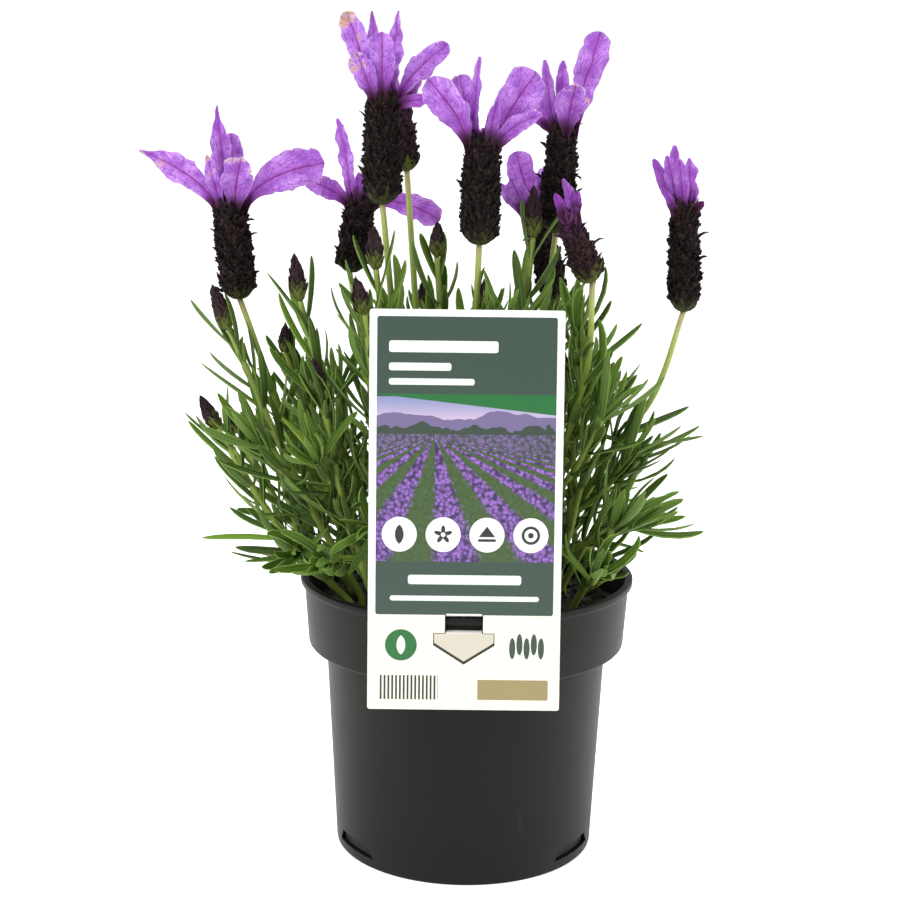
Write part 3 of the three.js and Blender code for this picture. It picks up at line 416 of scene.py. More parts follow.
# %% [markdown]
# ## Pot
# The real pot is one thin moulding: a rolled lip, a deep collar, a body that steps in below it, and drain
# notches round the foot. It could be extruded ring by ring by hand, but a profile turned round the axis keeps
# every radius and height as a named measure. The notches and the slot that the card hooks through are cut by
# boolean modifiers from wedges made in numpy, because they cross the profile.

# %% Pot profile
POT = dict(height=119, wall=1.4, foot=55.5, body_top=59.9, collar_foot=67.5, collar_top=69.3, lip=71,
           lip_height=3.6, collar=29.4, step=2.6, floor=3, foot_width=2.8, hub=14, skirt=14, eye=1.5)
CORNER = 1.1  # how far from a corner of the profile its rounding starts
POT_SIDES = 144


def rounded(profile, radius, steps=4):
    """A closed profile with each corner replaced by a short parabola that starts radius before it."""
    points = np.array(profile, float)
    back, forth = np.roll(points, 1, 0) - points, np.roll(points, -1, 0) - points
    shorter = np.minimum(np.linalg.norm(back, axis=1), np.linalg.norm(forth, axis=1))
    reach = np.minimum(radius, 0.42 * shorter)
    a = (points + unit(back) * reach[:, None])[:, None]
    b = (points + unit(forth) * reach[:, None])[:, None]
    t = np.linspace(0, 1, steps)[None, :, None]
    arcs = (1 - t) ** 2 * a + 2 * t * (1 - t) * points[:, None] + t ** 2 * b
    return arcs.reshape(-1, 2)


def turned(profile, sides):
    """(radius, height) points carried round the Z axis: x = r sin, y = r cos, as one ring a point."""
    angle = np.linspace(0, 2 * np.pi, sides, endpoint=False)
    radius, height = profile[:, 0, None], profile[:, 1, None]
    return np.stack([radius * np.sin(angle), radius * np.cos(angle), height + 0 * angle], axis=-1)


def pot_profile():
    """The wall as a closed line of (radius, height): under the floor and up the outside, over the lip, and
    down the inside, a wall's thickness in, to a small hole in the middle."""
    height, wall, foot, hub, floor = (POT[name] for name in ("height", "wall", "foot", "hub", "floor"))
    body_top, collar_top, lip = POT["body_top"], POT["collar_top"], POT["lip"]
    collar_foot, lip_foot = height - POT["collar"], height - POT["lip_height"]
    shoulder, floor_top = collar_foot - POT["step"], floor + wall
    slope = (body_top - foot) / shoulder
    skirt, eye, ring = POT["skirt"], POT["eye"], foot - POT["foot_width"]
    outside = [(hub, 0), (hub + 1.5, floor), (ring, floor), (ring + 0.4, 0), (foot, 0),
               (foot + slope * skirt, skirt), (body_top, shoulder), (POT["collar_foot"], collar_foot),
               (collar_top, lip_foot), (lip, lip_foot + 0.7), (lip, height - 0.4), (lip - 0.6, height)]
    inside = [(collar_top - wall, height), (POT["collar_foot"] - wall, collar_foot + 0.6),
              (body_top - wall, shoulder), (foot - wall + slope * skirt, skirt),
              (foot - wall + slope * floor_top, floor_top), (eye, floor_top), (eye, 0)]
    return rounded(outside + inside, CORNER)


print("points of the pot's profile:", len(pot_profile()))

# %% Cutters
def wedge(near, far, turn):
    """A block between two outlines of (right, out, up) corners, turned about Z. With no turn, out is -Y."""
    angle = math.radians(turn)
    right = np.array([math.cos(angle), math.sin(angle), 0])
    out = np.array([math.sin(angle), -math.cos(angle), 0])
    points = np.array([near, far], float) @ np.array([right, out, (0, 0, 1)])
    body = Body()
    body.add(points, tube_faces(1, 2, len(near)), (0, 0), (0, 0, 0))
    return body.object("cutter", [])


def opening(outline, near, far, turn):
    """A wedge with an outline of (right, up), from one distance out of the axis to another."""
    return wedge(*([(x, out, z) for x, z in outline] for out in (near, far)), turn)


def cut(made, cutters):
    """Takes the cutters' space out of a piece by exact booleans, and removes the cutters."""
    for cutter in cutters:
        boolean = made.modifiers.new("cut", "BOOLEAN")
        boolean.object, boolean.operation, boolean.solver = cutter, "DIFFERENCE", "EXACT"
    graph = bpy.context.evaluated_depsgraph_get()
    mesh = bpy.data.meshes.new_from_object(made.evaluated_get(graph))
    made.modifiers.clear()
    made.data = mesh
    for cutter in cutters:
        bpy.data.objects.remove(cutter)
    return made


print("cutters ready")

# %% Pot
DRAIN = dict(turn=57, low=4.4, high=9.4, low_width=27, high_width=20, lip_cut=1.5, lip_lean=0.41,
             lip_width=26, inward=14, outward=6)
SLOT = dict(width=16, height=1.6, below=4.9, centre=-1.5, inward=12, outward=6)
SHARP = math.radians(35)


def drain_cutters():
    """Four openings above the foot, and under each a slanted cut that leans the foot's lip inwards."""
    low, high = DRAIN["low_width"] / 2, DRAIN["high_width"] / 2
    notch = [(-low, DRAIN["low"]), (low, DRAIN["low"]), (high, DRAIN["high"]), (-high, DRAIN["high"])]
    turns = [half + hand * DRAIN["turn"] for half in (0, 180) for hand in (-1, 1)]
    near, far = POT["foot"] - DRAIN["inward"], POT["foot"] + DRAIN["outward"]
    openings = [opening(notch, near, far, turn) for turn in turns]
    edge, top = POT["foot"] - DRAIN["lip_cut"], DRAIN["low"] + 0.2
    lip = [(edge + DRAIN["lip_lean"] * z, z) for z in (top, -1)] + [(far - 1, -1), (far - 1, top)]
    half = DRAIN["lip_width"] / 2
    sides = [[(x, out, z) for out, z in lip] for x in (-half, half)]
    return openings + [wedge(*sides, turn) for turn in turns]


def slot_cutter():
    """A flat box through the collar at the front, centred on the card."""
    top = POT["height"] - SLOT["below"]
    left, right = SLOT["centre"] - SLOT["width"] / 2, SLOT["centre"] + SLOT["width"] / 2
    outline = [(left, top - SLOT["height"]), (right, top - SLOT["height"]), (right, top), (left, top)]
    return opening(outline, POT["collar_top"] - SLOT["inward"], POT["collar_top"] + SLOT["outward"], 0)


def make_pot():
    """The turned wall, whose last ring is joined to its first, less the drain notches and the slot."""
    profile = pot_profile()
    faces = tube_faces(1, len(profile), POT_SIDES, False)
    last = (len(profile) - 1) * POT_SIDES + np.arange(POT_SIDES)
    closing = np.stack([last, np.roll(last, -1), np.roll(last, -1) - last[0], last - last[0]], axis=-1)
    body = Body()
    body.add(turned(profile, POT_SIDES), [faces[0], closing], (0, 0), (0, 0, 0))
    made = cut(body.object("nursery_pot", [POT_PLASTIC]), [*drain_cutters(), slot_cutter()])
    made.data.set_sharp_from_angle(angle=SHARP)
    return dress(made, "pot_plastic", "pot")


pot = make_pot()
print("pot faces:", len(pot.data.polygons))

# %% [markdown]
# ## Curves, sections and blades
# A stem is a section carried along a curve. A leaf and a scale are blades: they leave an axis at an angle,
# bend as they go, and carry a flat section that widens and narrows. Each could be sculpted, or bent by a
# modifier, but one function that makes all blades of a kind at once keeps leaves, spikes and buds true to the
# same few formulas.

# %% Curves
def stem_curve(points, steps=24):
    """The CAD stems' own curve, in cubic pieces: its slope at a point is half the step between the points
    before and after."""
    p = np.array(points, float)
    p = np.vstack([2 * p[0] - p[1], p, 2 * p[-1] - p[-2]])
    a, b, c, d = p[:-3, None], p[1:-2, None], p[2:-1, None], p[3:, None]
    t = np.linspace(0, 1, steps, endpoint=False)[None, :, None]
    slope, next_slope = (c - a) / 2, (d - b) / 2
    curve = b + slope * t + (3 * (c - b) - 2 * slope - next_slope) * t ** 2
    curve += (2 * (b - c) + slope + next_slope) * t ** 3
    return np.vstack([curve.reshape(-1, 3), p[-2]])


def bow(start, handle, end, steps=24):
    """A quadratic curve: (1-t)^2 start + 2t(1-t) handle + t^2 end."""
    t = np.linspace(0, 1, steps)[:, None]
    return (1 - t) ** 2 * start + 2 * t * (1 - t) * handle + t ** 2 * end


def along(curve, shares):
    """Points and directions at shares of a line's length, and that length."""
    run = np.concatenate([[0], np.cumsum(np.linalg.norm(np.diff(curve, axis=0), axis=1))])

    def at(lengths):
        return np.stack([np.interp(lengths, run, curve[:, i]) for i in range(3)], axis=-1)

    lengths = np.clip(shares, 0, 1) * run[-1]
    return at(lengths), unit(at(lengths + 1.5) - at(lengths - 1.5)), run[-1]


def length_of(curve):
    """A line's length."""
    return along(curve, np.zeros(1))[2]


def frame_of(ways, hint):
    """Two directions square to each way and to each other: side = hint x way, up = way x side."""
    side = unit(np.cross(np.broadcast_to(hint, ways.shape), ways))
    return side, np.cross(ways, side)


def ripple(points, size, seed, waves=7):
    """Smooth noise near -1 to 1: the sum of sine waves in random directions, about size millimetres long."""
    rng = np.random.default_rng(seed)
    ways = unit(rng.normal(size=(waves, 3))) * (2 * np.pi / size) * rng.uniform(0.6, 1.6, (waves, 1))
    return np.sin(points @ ways.T + rng.uniform(0, 2 * np.pi, waves)).sum(-1) / waves ** 0.5 * 0.8


print("length of the first shoot's bends:", round(length_of(stem_curve(SHOOTS[0]["via"]))))

# %% Blades
def blades(root, axis, away, size, width, angles, outline, section, roll=0.0, twist=0.0, sway=0.0,
           clear=None):
    """Blades that leave their axis at an angle and turn along their length.
    angles is (lift, bend, curl), the angle is lift + bend * s + curl * s^2 at a share s of the length, the
    middle line is its running sum, and sway moves it sideways by s^2. outline is a list of (s, half width
    share), and section one of (across, up) in half widths, counter clockwise. Returns the points
    (blades, stations, corners, 3) and the shares s."""
    share, broad = np.array(outline, float).T
    angle = sum(np.broadcast_to(a, root.shape[:1])[:, None] * share ** i for i, a in enumerate(angles))
    axis, away = axis[:, None], away[:, None]
    cosine, sine = np.cos(angle)[..., None], np.sin(angle)[..., None]
    way = cosine * axis + sine * away
    step = (way[:, 1:] + way[:, :-1]) / 2 * np.diff(share)[:, None]
    middle = root[:, None] + size[:, None, None] * np.concatenate([0 * way[:, :1], np.cumsum(step, 1)], 1)
    side, face = np.cross(axis, away) + 0 * way, sine * axis - cosine * away
    middle = middle + (size[:, None] * sway * share ** 2)[..., None] * side
    if clear:
        middle = clear(middle, share)
    turn = (roll + twist * share)[..., None] + 0 * cosine
    side, face = np.cos(turn) * side + np.sin(turn) * face, np.cos(turn) * face - np.sin(turn) * side
    half = (width[:, None] * broad / 2)[..., None, None]
    across, up = np.array(section, float).T[:, :, None]
    return middle[:, :, None] + half * (across * side[:, :, None] + up * face[:, :, None]), share


def spread(values, shape):
    """Per-blade or per-station values as one row of three for each vertex."""
    return np.stack([np.broadcast_to(v, shape) for v in values], axis=-1).reshape(-1, len(values))


print("values of two vertices:", spread([1.0, 0.5, 0.0], (2,)).tolist())

# %% [markdown]
# ## Potting mix
# A nursery mix is composted bark: nearly black when damp, with flat chips lying every way on the top. A bumpy
# disc alone would look like putty, and real grains would be too many. So the body that fills the pot is a
# turned profile whose top is moved by noise, and 620 flat five-sided prisms lie half sunk in it.

# %% Bark finish
BARK = dict(dark=(0.006, 0.005, 0.004), light=(0.022, 0.016, 0.012), old_chip=(0.020, 0.014, 0.010),
            new_chip=(0.075, 0.050, 0.034), dirt=(0.015, 0.011, 0.009))


def mix_finish():
    """Grainy dark bark, and chips that each have a shade of their own under the same dirt."""
    finish = Finish("damp_bark")
    grain = finish.noise(finish.place(), 420, 5, 0.65)
    kind, is_chip, _ = finish.tint()
    crumbs = finish.blend(grain, BARK["dark"], BARK["light"])
    chip = finish.blend(grain, finish.blend(kind, BARK["old_chip"], BARK["new_chip"]), BARK["dirt"])
    return finish.surface(Base_Color=finish.blend(is_chip, crumbs, chip), Roughness=0.78 + grain * 0.2,
                          Normal=finish.bump(grain, 0.7, 0.0012))


MIX_FINISH = mix_finish()
print("finish:", MIX_FINISH.name)

# %% Potting mix
SOIL = dict(level=105, crown=2.2, dome=66, inset=1.85, bottom=4.7, stem_depth=8, rise=6, rings=44, sides=96)
LUMPS = ((0.8, 20, 3), (0.7, 7, 4), (0.35, 3, 5))  # the height, length and seed of each size of lump
CHIPS = dict(count=620, spread=64, corners=5, length=(2.0, 7.5), slim=(0.35, 0.7), thick=(0.5, 1.3),
             tilt=0.45)


def mix_height(x, y):
    """The top's height: level + crown * (1 - (r / dome)^2), a low dome, with three sizes of lump on it."""
    flat = np.stack([x, y, 0 * x], axis=-1)
    height = SOIL["level"] + SOIL["crown"] * (1 - (x * x + y * y) / SOIL["dome"] ** 2)
    for size, length, seed in LUMPS:
        height = height + size * ripple(flat, length, seed)
    return height


def mix_rings():
    """A turned profile, inset from the pot's inner wall, with its top rings at mix_height."""
    collar_foot, count = POT["height"] - POT["collar"], SOIL["rings"]
    edge = POT["collar_foot"] - SOIL["inset"] + 0.07 * (SOIL["level"] - collar_foot)
    wall = [(0.5, SOIL["bottom"]), (POT["foot"] - SOIL["inset"] + 0.3, SOIL["bottom"]),
            (POT["body_top"] - SOIL["inset"], collar_foot - POT["step"] - 0.2),
            (POT["collar_foot"] - SOIL["inset"], collar_foot + 1), (edge, SOIL["level"] - 1.2)]
    top = [(radius, SOIL["level"]) for radius in np.linspace(edge - 0.3, 0.6, count)]
    rings = turned(np.array(wall + top), SOIL["sides"])[::-1]
    rings[:count, :, 2] = mix_height(rings[:count, :, 0], rings[:count, :, 1])
    rings[count - 1, :, 2] -= 0.8
    return rings


def bark_chips(rng):
    """Prisms on an uneven ellipse of five corners, as middle +- a thickness along a nearly upright normal."""
    count, corners = CHIPS["count"], CHIPS["corners"]
    radius, angle = CHIPS["spread"] * np.sqrt(rng.random(count)), rng.uniform(0, 2 * np.pi, count)
    x, y = radius * np.cos(angle), radius * np.sin(angle)
    middle = np.stack([x, y, mix_height(x, y) + rng.uniform(-0.3, 0.8, count)], axis=-1)
    normal = unit(rng.normal(size=(count, 3)) * CHIPS["tilt"] + np.array([0, 0, 1]))
    side, up = frame_of(normal, unit(rng.normal(size=(count, 3)) * np.array([1, 1, 0.1])))
    turn = np.arange(corners) * 2 * np.pi / corners + rng.uniform(-0.4, 0.4, (count, corners))
    long = rng.uniform(*CHIPS["length"], (count, 1)) / 2 * rng.uniform(0.75, 1.2, (count, corners))
    slim = rng.uniform(*CHIPS["slim"], (count, 1))
    ring = (middle[:, None] + (long * np.cos(turn))[..., None] * side[:, None]
            + (long * slim * np.sin(turn))[..., None] * up[:, None])
    thick = rng.uniform(*CHIPS["thick"], (count, 1, 1)) * normal[:, None]
    return np.stack([ring - thick, ring + thick], axis=1)


def make_mix():
    """The filling and its chips. The tint holds a chip's shade, and whether a vertex is on a chip."""
    rng = np.random.default_rng(31)
    body = Body()
    rings = mix_rings()
    body.add(rings, tube_faces(1, *rings.shape[:2]), (0, 0), (0, 0, 0))
    chips = bark_chips(rng)
    shape = chips.shape[:3]
    shade = np.broadcast_to(rng.random((len(chips), 1, 1)), shape)
    body.add(chips, tube_faces(*shape), (0, 0), spread([shade, 1.0, 0.0], shape))
    return dress(body.object("potting_mix_top", [MIX_FINISH], False), "potting_mix", "potting_mix")


mix = make_mix()
print("mix faces:", len(mix.data.polygons))

# %% [markdown]
# ## Leaves and stems: their finish
# Fresh stems are a bright yellow green and turn beige just under a flower. A leaf is darker, with a pale line
# along its groove, a paler underside and base, and a tone of its own. Its rolled edges are lightened as a
# painted highlight, where they would catch the light. Twenty materials could give twenty greens, but one
# finish that reads them from the mesh is easier to tune. The mesh stores what a vertex is (stem or leaf), its
# tone and which face it lies on, and the UV runs across and along each leaf.

# %% Foliage finish
LEAF_GREENS = ((0.0, (0.010, 0.028, 0.003)), (0.45, (0.034, 0.080, 0.008)), (0.8, (0.112, 0.212, 0.018)),
               (1.0, (0.250, 0.380, 0.048)))
# edge is a painted highlight: the pale colour on a leaf's rolled edges stands in for the light they catch
LEAF_PARTS = dict(mottle=(0.080, 0.135, 0.018), groove=(0.200, 0.300, 0.065), edge=(0.230, 0.350, 0.080),
                  base=(0.200, 0.300, 0.040), underside=(0.125, 0.185, 0.055))
STEM_PARTS = dict(low=(0.150, 0.235, 0.026), high=(0.420, 0.500, 0.150), neck=(0.420, 0.310, 0.200),
                  mottle=(0.190, 0.190, 0.045))


def leaf_color(finish, tone, upper, mottle):
    """A green by its tone, then the groove, painted edge highlights and the base, and a paler underside."""
    across, length, _ = finish.axes(finish.place("UV"))
    middle = finish.absolute(across)
    color = finish.blend(mottle * 0.3, finish.ramp(tone, *LEAF_GREENS), LEAF_PARTS["mottle"])
    groove = finish.span(middle, 0.02, 0.16, 1.0, 0.0) * finish.span(length, 0.0, 0.9, 0.75, 0.2)
    color = finish.blend(groove, color, LEAF_PARTS["groove"])
    # painted highlight: the rolled edges are made paler, as if they caught the light
    color = finish.blend(finish.span(middle, 0.62, 0.95, 0.0, 0.7), color, LEAF_PARTS["edge"])
    color = finish.blend(finish.span(length, 0.0, 0.16, 0.6, 0.0), color, LEAF_PARTS["base"])
    return finish.blend(upper, finish.blend(0.4, color, LEAF_PARTS["underside"]), color)


def stem_color(finish, tone, mottle):
    """Yellow green, brighter by its tone, and beige at the neck, where the tone nears 1."""
    color = finish.blend(tone, STEM_PARTS["low"], STEM_PARTS["high"])
    color = finish.blend(finish.span(tone, 0.90, 1.0, 0.0, 0.6), color, STEM_PARTS["neck"])
    return finish.blend(mottle * 0.3, color, STEM_PARTS["mottle"])


def foliage_finish():
    """Leaf or stem colour by the mesh's first tint, with mottling and long ridges on the bump."""
    finish = Finish("lavender_foliage")
    is_leaf, tone, upper = finish.tint()
    place = finish.place()
    mottle = finish.noise(place, 300, 4)
    color = finish.blend(is_leaf, stem_color(finish, tone, mottle), leaf_color(finish, tone, upper, mottle))
    ridges = finish.noise(finish.stretched(place, (900, 900, 160)), 1, 2)
    return finish.surface(Base_Color=color, Roughness=0.50 + mottle * 0.14, Specular_IOR_Level=0.16,
                          Subsurface_Weight=0.1, Subsurface_Radius=(0.6, 0.9, 0.15), Subsurface_Scale=0.002,
                          Normal=finish.bump(mottle * 0.6 + ridges * 0.4, 0.25, 0.0003))


FOLIAGE = foliage_finish()
print("finish:", FOLIAGE.name)

# %% [markdown]
# ## Leafy stems
# Lavender leaves stand in pairs, each pair square to the one below, and a tuft of small young leaves sits in
# the angle of many of them. Low leaves are long and arch outwards, high ones are short and upright. A
# particle system could scatter copies of one leaf, but it knows nothing of pairs, nor of what is in the way.
# Here leaves that would cross the card, the rim or the soil are bent clear as a whole, by most at their tips.

# %% Leaf shapes
LEAF_OUTLINE = [(0, 0.42), (0.07, 0.62), (0.22, 0.86), (0.45, 1.0), (0.68, 1.0), (0.83, 0.86), (0.92, 0.62),
                (0.975, 0.36), (1.0, 0.1)]
LEAF_SECTION = [(1, -0.3), (0.66, 0.12), (0, -0.12), (-0.66, 0.12), (-1, -0.3), (-0.5, -0.3), (0, -0.44),
                (0.5, -0.3)]
LEAF_UPPER = [0.6, 1, 1, 1, 0.6, 0, 0, 0]  # how far each corner of the section is on the upper face
LEAF_DRIFT = dict(roll=0.25, twist=0.5, sway=0.14)
CARD = dict(width=75, length=156, thick=0.8, corner=1, lean=math.radians(5.9), foot=(-1.5, -76, 83.5))
CLEAR = dict(rim_from=62, over_rim=2.4, over_soil=4, front_from=20, front_rise=0.3, reach=125,
             behind_card=3.4, card_side=44, card_top=245)
FORWARD, UPWARD = np.array([0, 1.0, 0]), np.array([0, 0, 1.0])


def bent(middle, share, need, way):
    """Moves each blade by way times s times the most that any station of it needs."""
    most = (np.maximum(need, 0) / np.maximum(share, 0.2)).max(axis=1)
    return middle + most[:, None, None] * share[:, None] * way


def keep_clear(middle, share):
    """Bends leaves up off the soil and the rim, and back from behind the card."""
    radius = np.hypot(middle[..., 0], middle[..., 1])
    over_rim, over_soil = POT["height"] + CLEAR["over_rim"], SOIL["level"] + CLEAR["over_soil"]
    floor = np.where(radius > CLEAR["rim_from"], over_rim, over_soil)
    floor = floor + CLEAR["front_rise"] * np.maximum(-CLEAR["front_from"] - middle[..., 1], 0)
    need = np.where(radius < CLEAR["reach"], floor - middle[..., 2], 0)
    middle = bent(middle, share, need, UPWARD)
    x, y, z = np.moveaxis(middle, -1, 0)
    back = CARD["foot"][1] + (z - CARD["foot"][2]) * math.tan(CARD["lean"]) + CLEAR["behind_card"]
    is_behind = (abs(x - CARD["foot"][0]) < CLEAR["card_side"]) & (z < CLEAR["card_top"])
    return bent(middle, share, np.where(is_behind, back - y, 0), FORWARD)


def add_leaves(body, root, axis, turn, size, width, lift, bend, curl, tone, rng):
    """Leaves round their stems' axes, at turns from the frame of each axis. The angles are in degrees."""
    side, up = frame_of(axis, FORWARD)
    away = np.cos(turn)[:, None] * side + np.sin(turn)[:, None] * up
    drift = [rng.normal(0, LEAF_DRIFT[name], (len(root), 1)) for name in ("roll", "twist", "sway")]
    points, share = blades(root, axis, away, size, width, np.radians([lift, bend, curl]), LEAF_OUTLINE,
                           LEAF_SECTION, *drift, keep_clear)
    shape = points.shape[:3]
    across = np.array([corner[0] for corner in LEAF_SECTION])
    uv = spread([across, share[:, None]], shape)
    body.add(points, tube_faces(*shape), uv,
             spread([1.0, tone[:, None, None], np.array(LEAF_UPPER)], shape))


print("corners of a leaf:", len(LEAF_OUTLINE) * len(LEAF_SECTION))

# %% Stems
STEM = dict(foot=1.62, top=1.1, branch=0.85, step=2.2, knot=1.3, swell=0.22, ridge=0.07)
STEM_SECTION = [((1 + STEM["ridge"] * math.cos(4 * a)) * math.cos(a),
                 (1 + STEM["ridge"] * math.cos(4 * a)) * math.sin(a))
                for a in np.linspace(0, 2 * np.pi, 12, endpoint=False)]


def add_stem(body, curve, low, high, nodes, bare_from):
    """A rod with a rounded square section, thicker at the leaf nodes, from radius low to high."""
    length = length_of(curve)
    share = np.linspace(0, 1, max(6, int(length / STEM["step"])))
    points, ways, _ = along(curve, share)
    knots = np.exp(-((share[:, None] - nodes) * length / STEM["knot"]) ** 2).sum(1)
    radius = (low + (high - low) * share) * (1 + STEM["swell"] * np.minimum(knots, 1))
    side, up = frame_of(ways, FORWARD)
    across, rise = np.array(STEM_SECTION).T[:, :, None]
    rings = points[:, None] + radius[:, None, None] * (across * side[:, None] + rise * up[:, None])
    tone = smooth(share, bare_from, 1.0) if bare_from < 1 else 0.5 * share
    shape = rings.shape[:2]
    body.add(rings, tube_faces(1, *shape), spread([0.0, share[:, None]], shape),
             spread([0.0, tone[:, None], 0.0], shape))


print("corners round a stem:", len(STEM_SECTION))

# %% [markdown]
# ## Leafy shoots
# A shoot is a stem with its pairs of leaves, a bud's two long leaves or a tuft at its tip, and its branches.
# Every leaf could be placed by hand, but a real shoot follows a rule with small mistakes. So places, sizes
# and angles change steadily from the foot, where the share s is 0, to the end, where it is 1, and a seeded
# generator for each stretch of stem adds the mistakes. ALONG_STEM holds the (a, b) of each a + b s.

# %% Leaf pairs
GOLDEN = 2.4  # the golden angle in radians
PAIR_STEP = 9.0
ALONG_STEM = dict(size=(46, -20), lift=(54, -27), bend=(30, -44), curl=(-54, 42), tone=(0.25, 0.35))
PAIR_WIDTH = (2.7, 4.0)
KINDS = (  # full leaves, and the young leaves in their angles
    dict(copies=2, scale=1.0, lift=1, width=1, tone=0, kept=0.9),
    dict(copies=4, scale=0.42, lift=0.6, width=0.66, tone=0.25, kept=0.5))


def leaf_pairs(body, curve, low, high, seed, vigour):
    """Pairs of leaves with young tufts in their angles along a stretch of stem. Returns the nodes' shares."""
    rng = np.random.default_rng(seed)
    count = max(2, round(length_of(curve) * (high - low) / PAIR_STEP))
    share = low + (high - low) * (np.arange(count) + 0.5) / count
    points, ways, _ = along(curve, share)
    for kind in KINDS:
        copies = kind["copies"]
        n = count * copies
        s = np.repeat(share, copies)
        size, lift, bend, curl, tone = (a + b * s for a, b in ALONG_STEM.values())
        turn = np.repeat(np.arange(count) * np.pi / 2, copies) + seed
        turn += np.tile(np.arange(copies) * np.pi, count) + rng.normal(0, 0.28, n)
        size = size * rng.uniform(0.72, 1.15, n) * kind["scale"] * vigour
        lift = lift * kind["lift"] + rng.normal(0, 9, n)
        bend = bend + rng.normal(0, 14, n)
        curl = curl + rng.normal(0, 12, n)
        width = rng.uniform(*PAIR_WIDTH, n) * kind["width"] * (0.75 + 0.25 * vigour)
        tone = np.clip(tone + rng.normal(0, 0.2, n) + kind["tone"], 0, 1)
        is_kept = rng.random(n) < kind["kept"]
        roots, axes = np.repeat(points, copies, 0), np.repeat(ways, copies, 0)
        leaves = (roots, axes, turn, size, width, lift, bend, curl, tone)
        add_leaves(body, *(values[is_kept] for values in leaves), rng)
    return share


print("leaves at a node, at most:", sum(kind["copies"] for kind in KINDS))

# %% Tufts and bud leaves
TUFT = dict(top=0.985, depth=0.03, width=(2.4, 1.3), tone=(0.85, -0.3))  # the last two from inner to outer
BUD_LEAVES = dict(below=10, length=(11, 0.9), width=(3.0, 3.9), lift=(15, 25), tone=(0.3, 0.6))


def leaf_tuft(body, curve, seed, n, size, lift, curl):
    """A rosette of n young leaves at a stem's end, spaced by the golden angle: the inner ones are the
    shortest and most upright, and size and lift are the ranges from them to the outer ones."""
    rng = np.random.default_rng(seed)
    points, ways, _ = along(curve, np.full(n, TUFT["top"]) - np.linspace(0, TUFT["depth"], n))
    order = np.linspace(0, 1, n)
    width, tone = (a + b * order for a, b in (TUFT["width"], TUFT["tone"]))
    add_leaves(body, points, ways, np.arange(n) * GOLDEN, np.interp(order, [0, 1], size), width,
               np.interp(order, [0, 1], lift), rng.normal(2, 9, n), rng.normal(curl, 8, n), tone, rng)


def bud_pair(body, curve, seed, tall):
    """Two long leaves that stand up on either side of a bud, from a node under it."""
    rng = np.random.default_rng(seed)
    points, ways, _ = along(curve, np.full(2, 1 - BUD_LEAVES["below"] / length_of(curve)))
    shortest, growth = BUD_LEAVES["length"]
    turn = np.array([0, np.pi]) + rng.normal(0, 0.3, 2)
    size = (shortest + growth * tall) * rng.uniform(0.9, 1.1, 2)
    width, lift = rng.uniform(*BUD_LEAVES["width"], 2), rng.uniform(*BUD_LEAVES["lift"], 2)
    bend, curl = rng.normal(0, 5, 2), rng.normal(-4, 5, 2)
    tone = rng.uniform(*BUD_LEAVES["tone"], 2)
    add_leaves(body, points, ways, turn, size, width, lift, bend, curl, tone, rng)


print("turn from leaf to leaf of a tuft, degrees:", round(math.degrees(GOLDEN)))

# %% Leafy shoots
SHOOT_TUFT = dict(n=11, size=(12, 31), lift=(7, 37), curl=-14)
BRANCH_TUFT = dict(n=9, size=(17, 33), lift=(9, 42), curl=-26)
BRANCH = dict(low=0.22, high=0.95, vigour=0.86, handle=0.4, forward=0.6, thick=1.1)
LEAFY_FROM, LEAFY_TO = 0.08, 0.97


def fraction(x):
    """How far x is above the whole number under it."""
    return x - math.floor(x)


def scatter(a, b):
    """The CAD model's own draw from 0 to 1, which turns each stem about its axis."""
    return fraction(math.sin(a * 12.9898 + b * 78.233) * 43758.5453)


def add_branch(body, curve, at, end, twist, pair_seed, tuft_seed):
    """A branch that leaves the face of the stem's square section that looks most towards its end."""
    point, way, _ = along(curve, np.array([at]))
    level = np.array([math.cos(twist), math.sin(twist), 0])
    level = unit(level - dot(level, way[0]) * way[0])
    up = np.cross(way[0], level)
    faces = np.array([-up, level, up, -level])
    end = np.array(end, float)
    reach = end - point[0]
    face = faces[np.argmax(faces @ reach)]
    start_way = unit(way[0] * BRANCH["forward"] + face)
    branch = bow(point[0], point[0] + start_way * BRANCH["handle"] * np.linalg.norm(reach), end)
    nodes = leaf_pairs(body, branch, BRANCH["low"], BRANCH["high"], pair_seed, BRANCH["vigour"])
    leaf_tuft(body, branch, tuft_seed, **BRANCH_TUFT)
    add_stem(body, branch, STEM["top"] * BRANCH["thick"], STEM["branch"], nodes, 1)


def make_shoot(k, shoot):
    """The stem's curve ends at its head's or bud's foot, and its rod starts below the soil's top."""
    body = Body()
    start = (*shoot["foot"], SOIL["level"] + SOIL["rise"])
    bends = [start, *shoot["via"]]
    if "flower" in shoot:
        bends.append(FLOWERS[shoot["flower"]]["foot"])
    if "bud" in shoot:
        bends.append(BUDS[shoot["bud"]][0])
    curve = stem_curve(bends)
    nodes = leaf_pairs(body, curve, LEAFY_FROM, min(shoot["leafy"], LEAFY_TO), 100 + k, 1.0)
    if "bud" in shoot:
        bud_pair(body, curve, 400 + k, math.dist(*BUDS[shoot["bud"]]))
    elif "flower" not in shoot:
        leaf_tuft(body, curve, 300 + k, **SHOOT_TUFT)
    root = np.array([[*shoot["foot"], SOIL["level"] - SOIL["stem_depth"]]], float)
    buried = start[2] - root[0, 2]
    share = buried / (length_of(curve) + start[2] - root[0, 2])
    nodes = share + (1 - share) * nodes
    bare_from = shoot["leafy"] if "flower" in shoot else 1
    add_stem(body, np.vstack([root, curve]), STEM["foot"], STEM["top"], nodes, bare_from)
    for i, (at, end) in enumerate(shoot["branches"]):
        place = 10 * k + i
        add_branch(body, curve, at, end, scatter(k, 3) * math.pi, 500 + place, 800 + place)
    name = f"shoot_{k + 1}"
    return dress(body.object(f"leafy_{name}", [FOLIAGE]), "foliage", name)


shoots = [make_shoot(k, shoot) for k, shoot in enumerate(SHOOTS)]
print("foliage faces:", sum(len(s.data.polygons) for s in shoots))

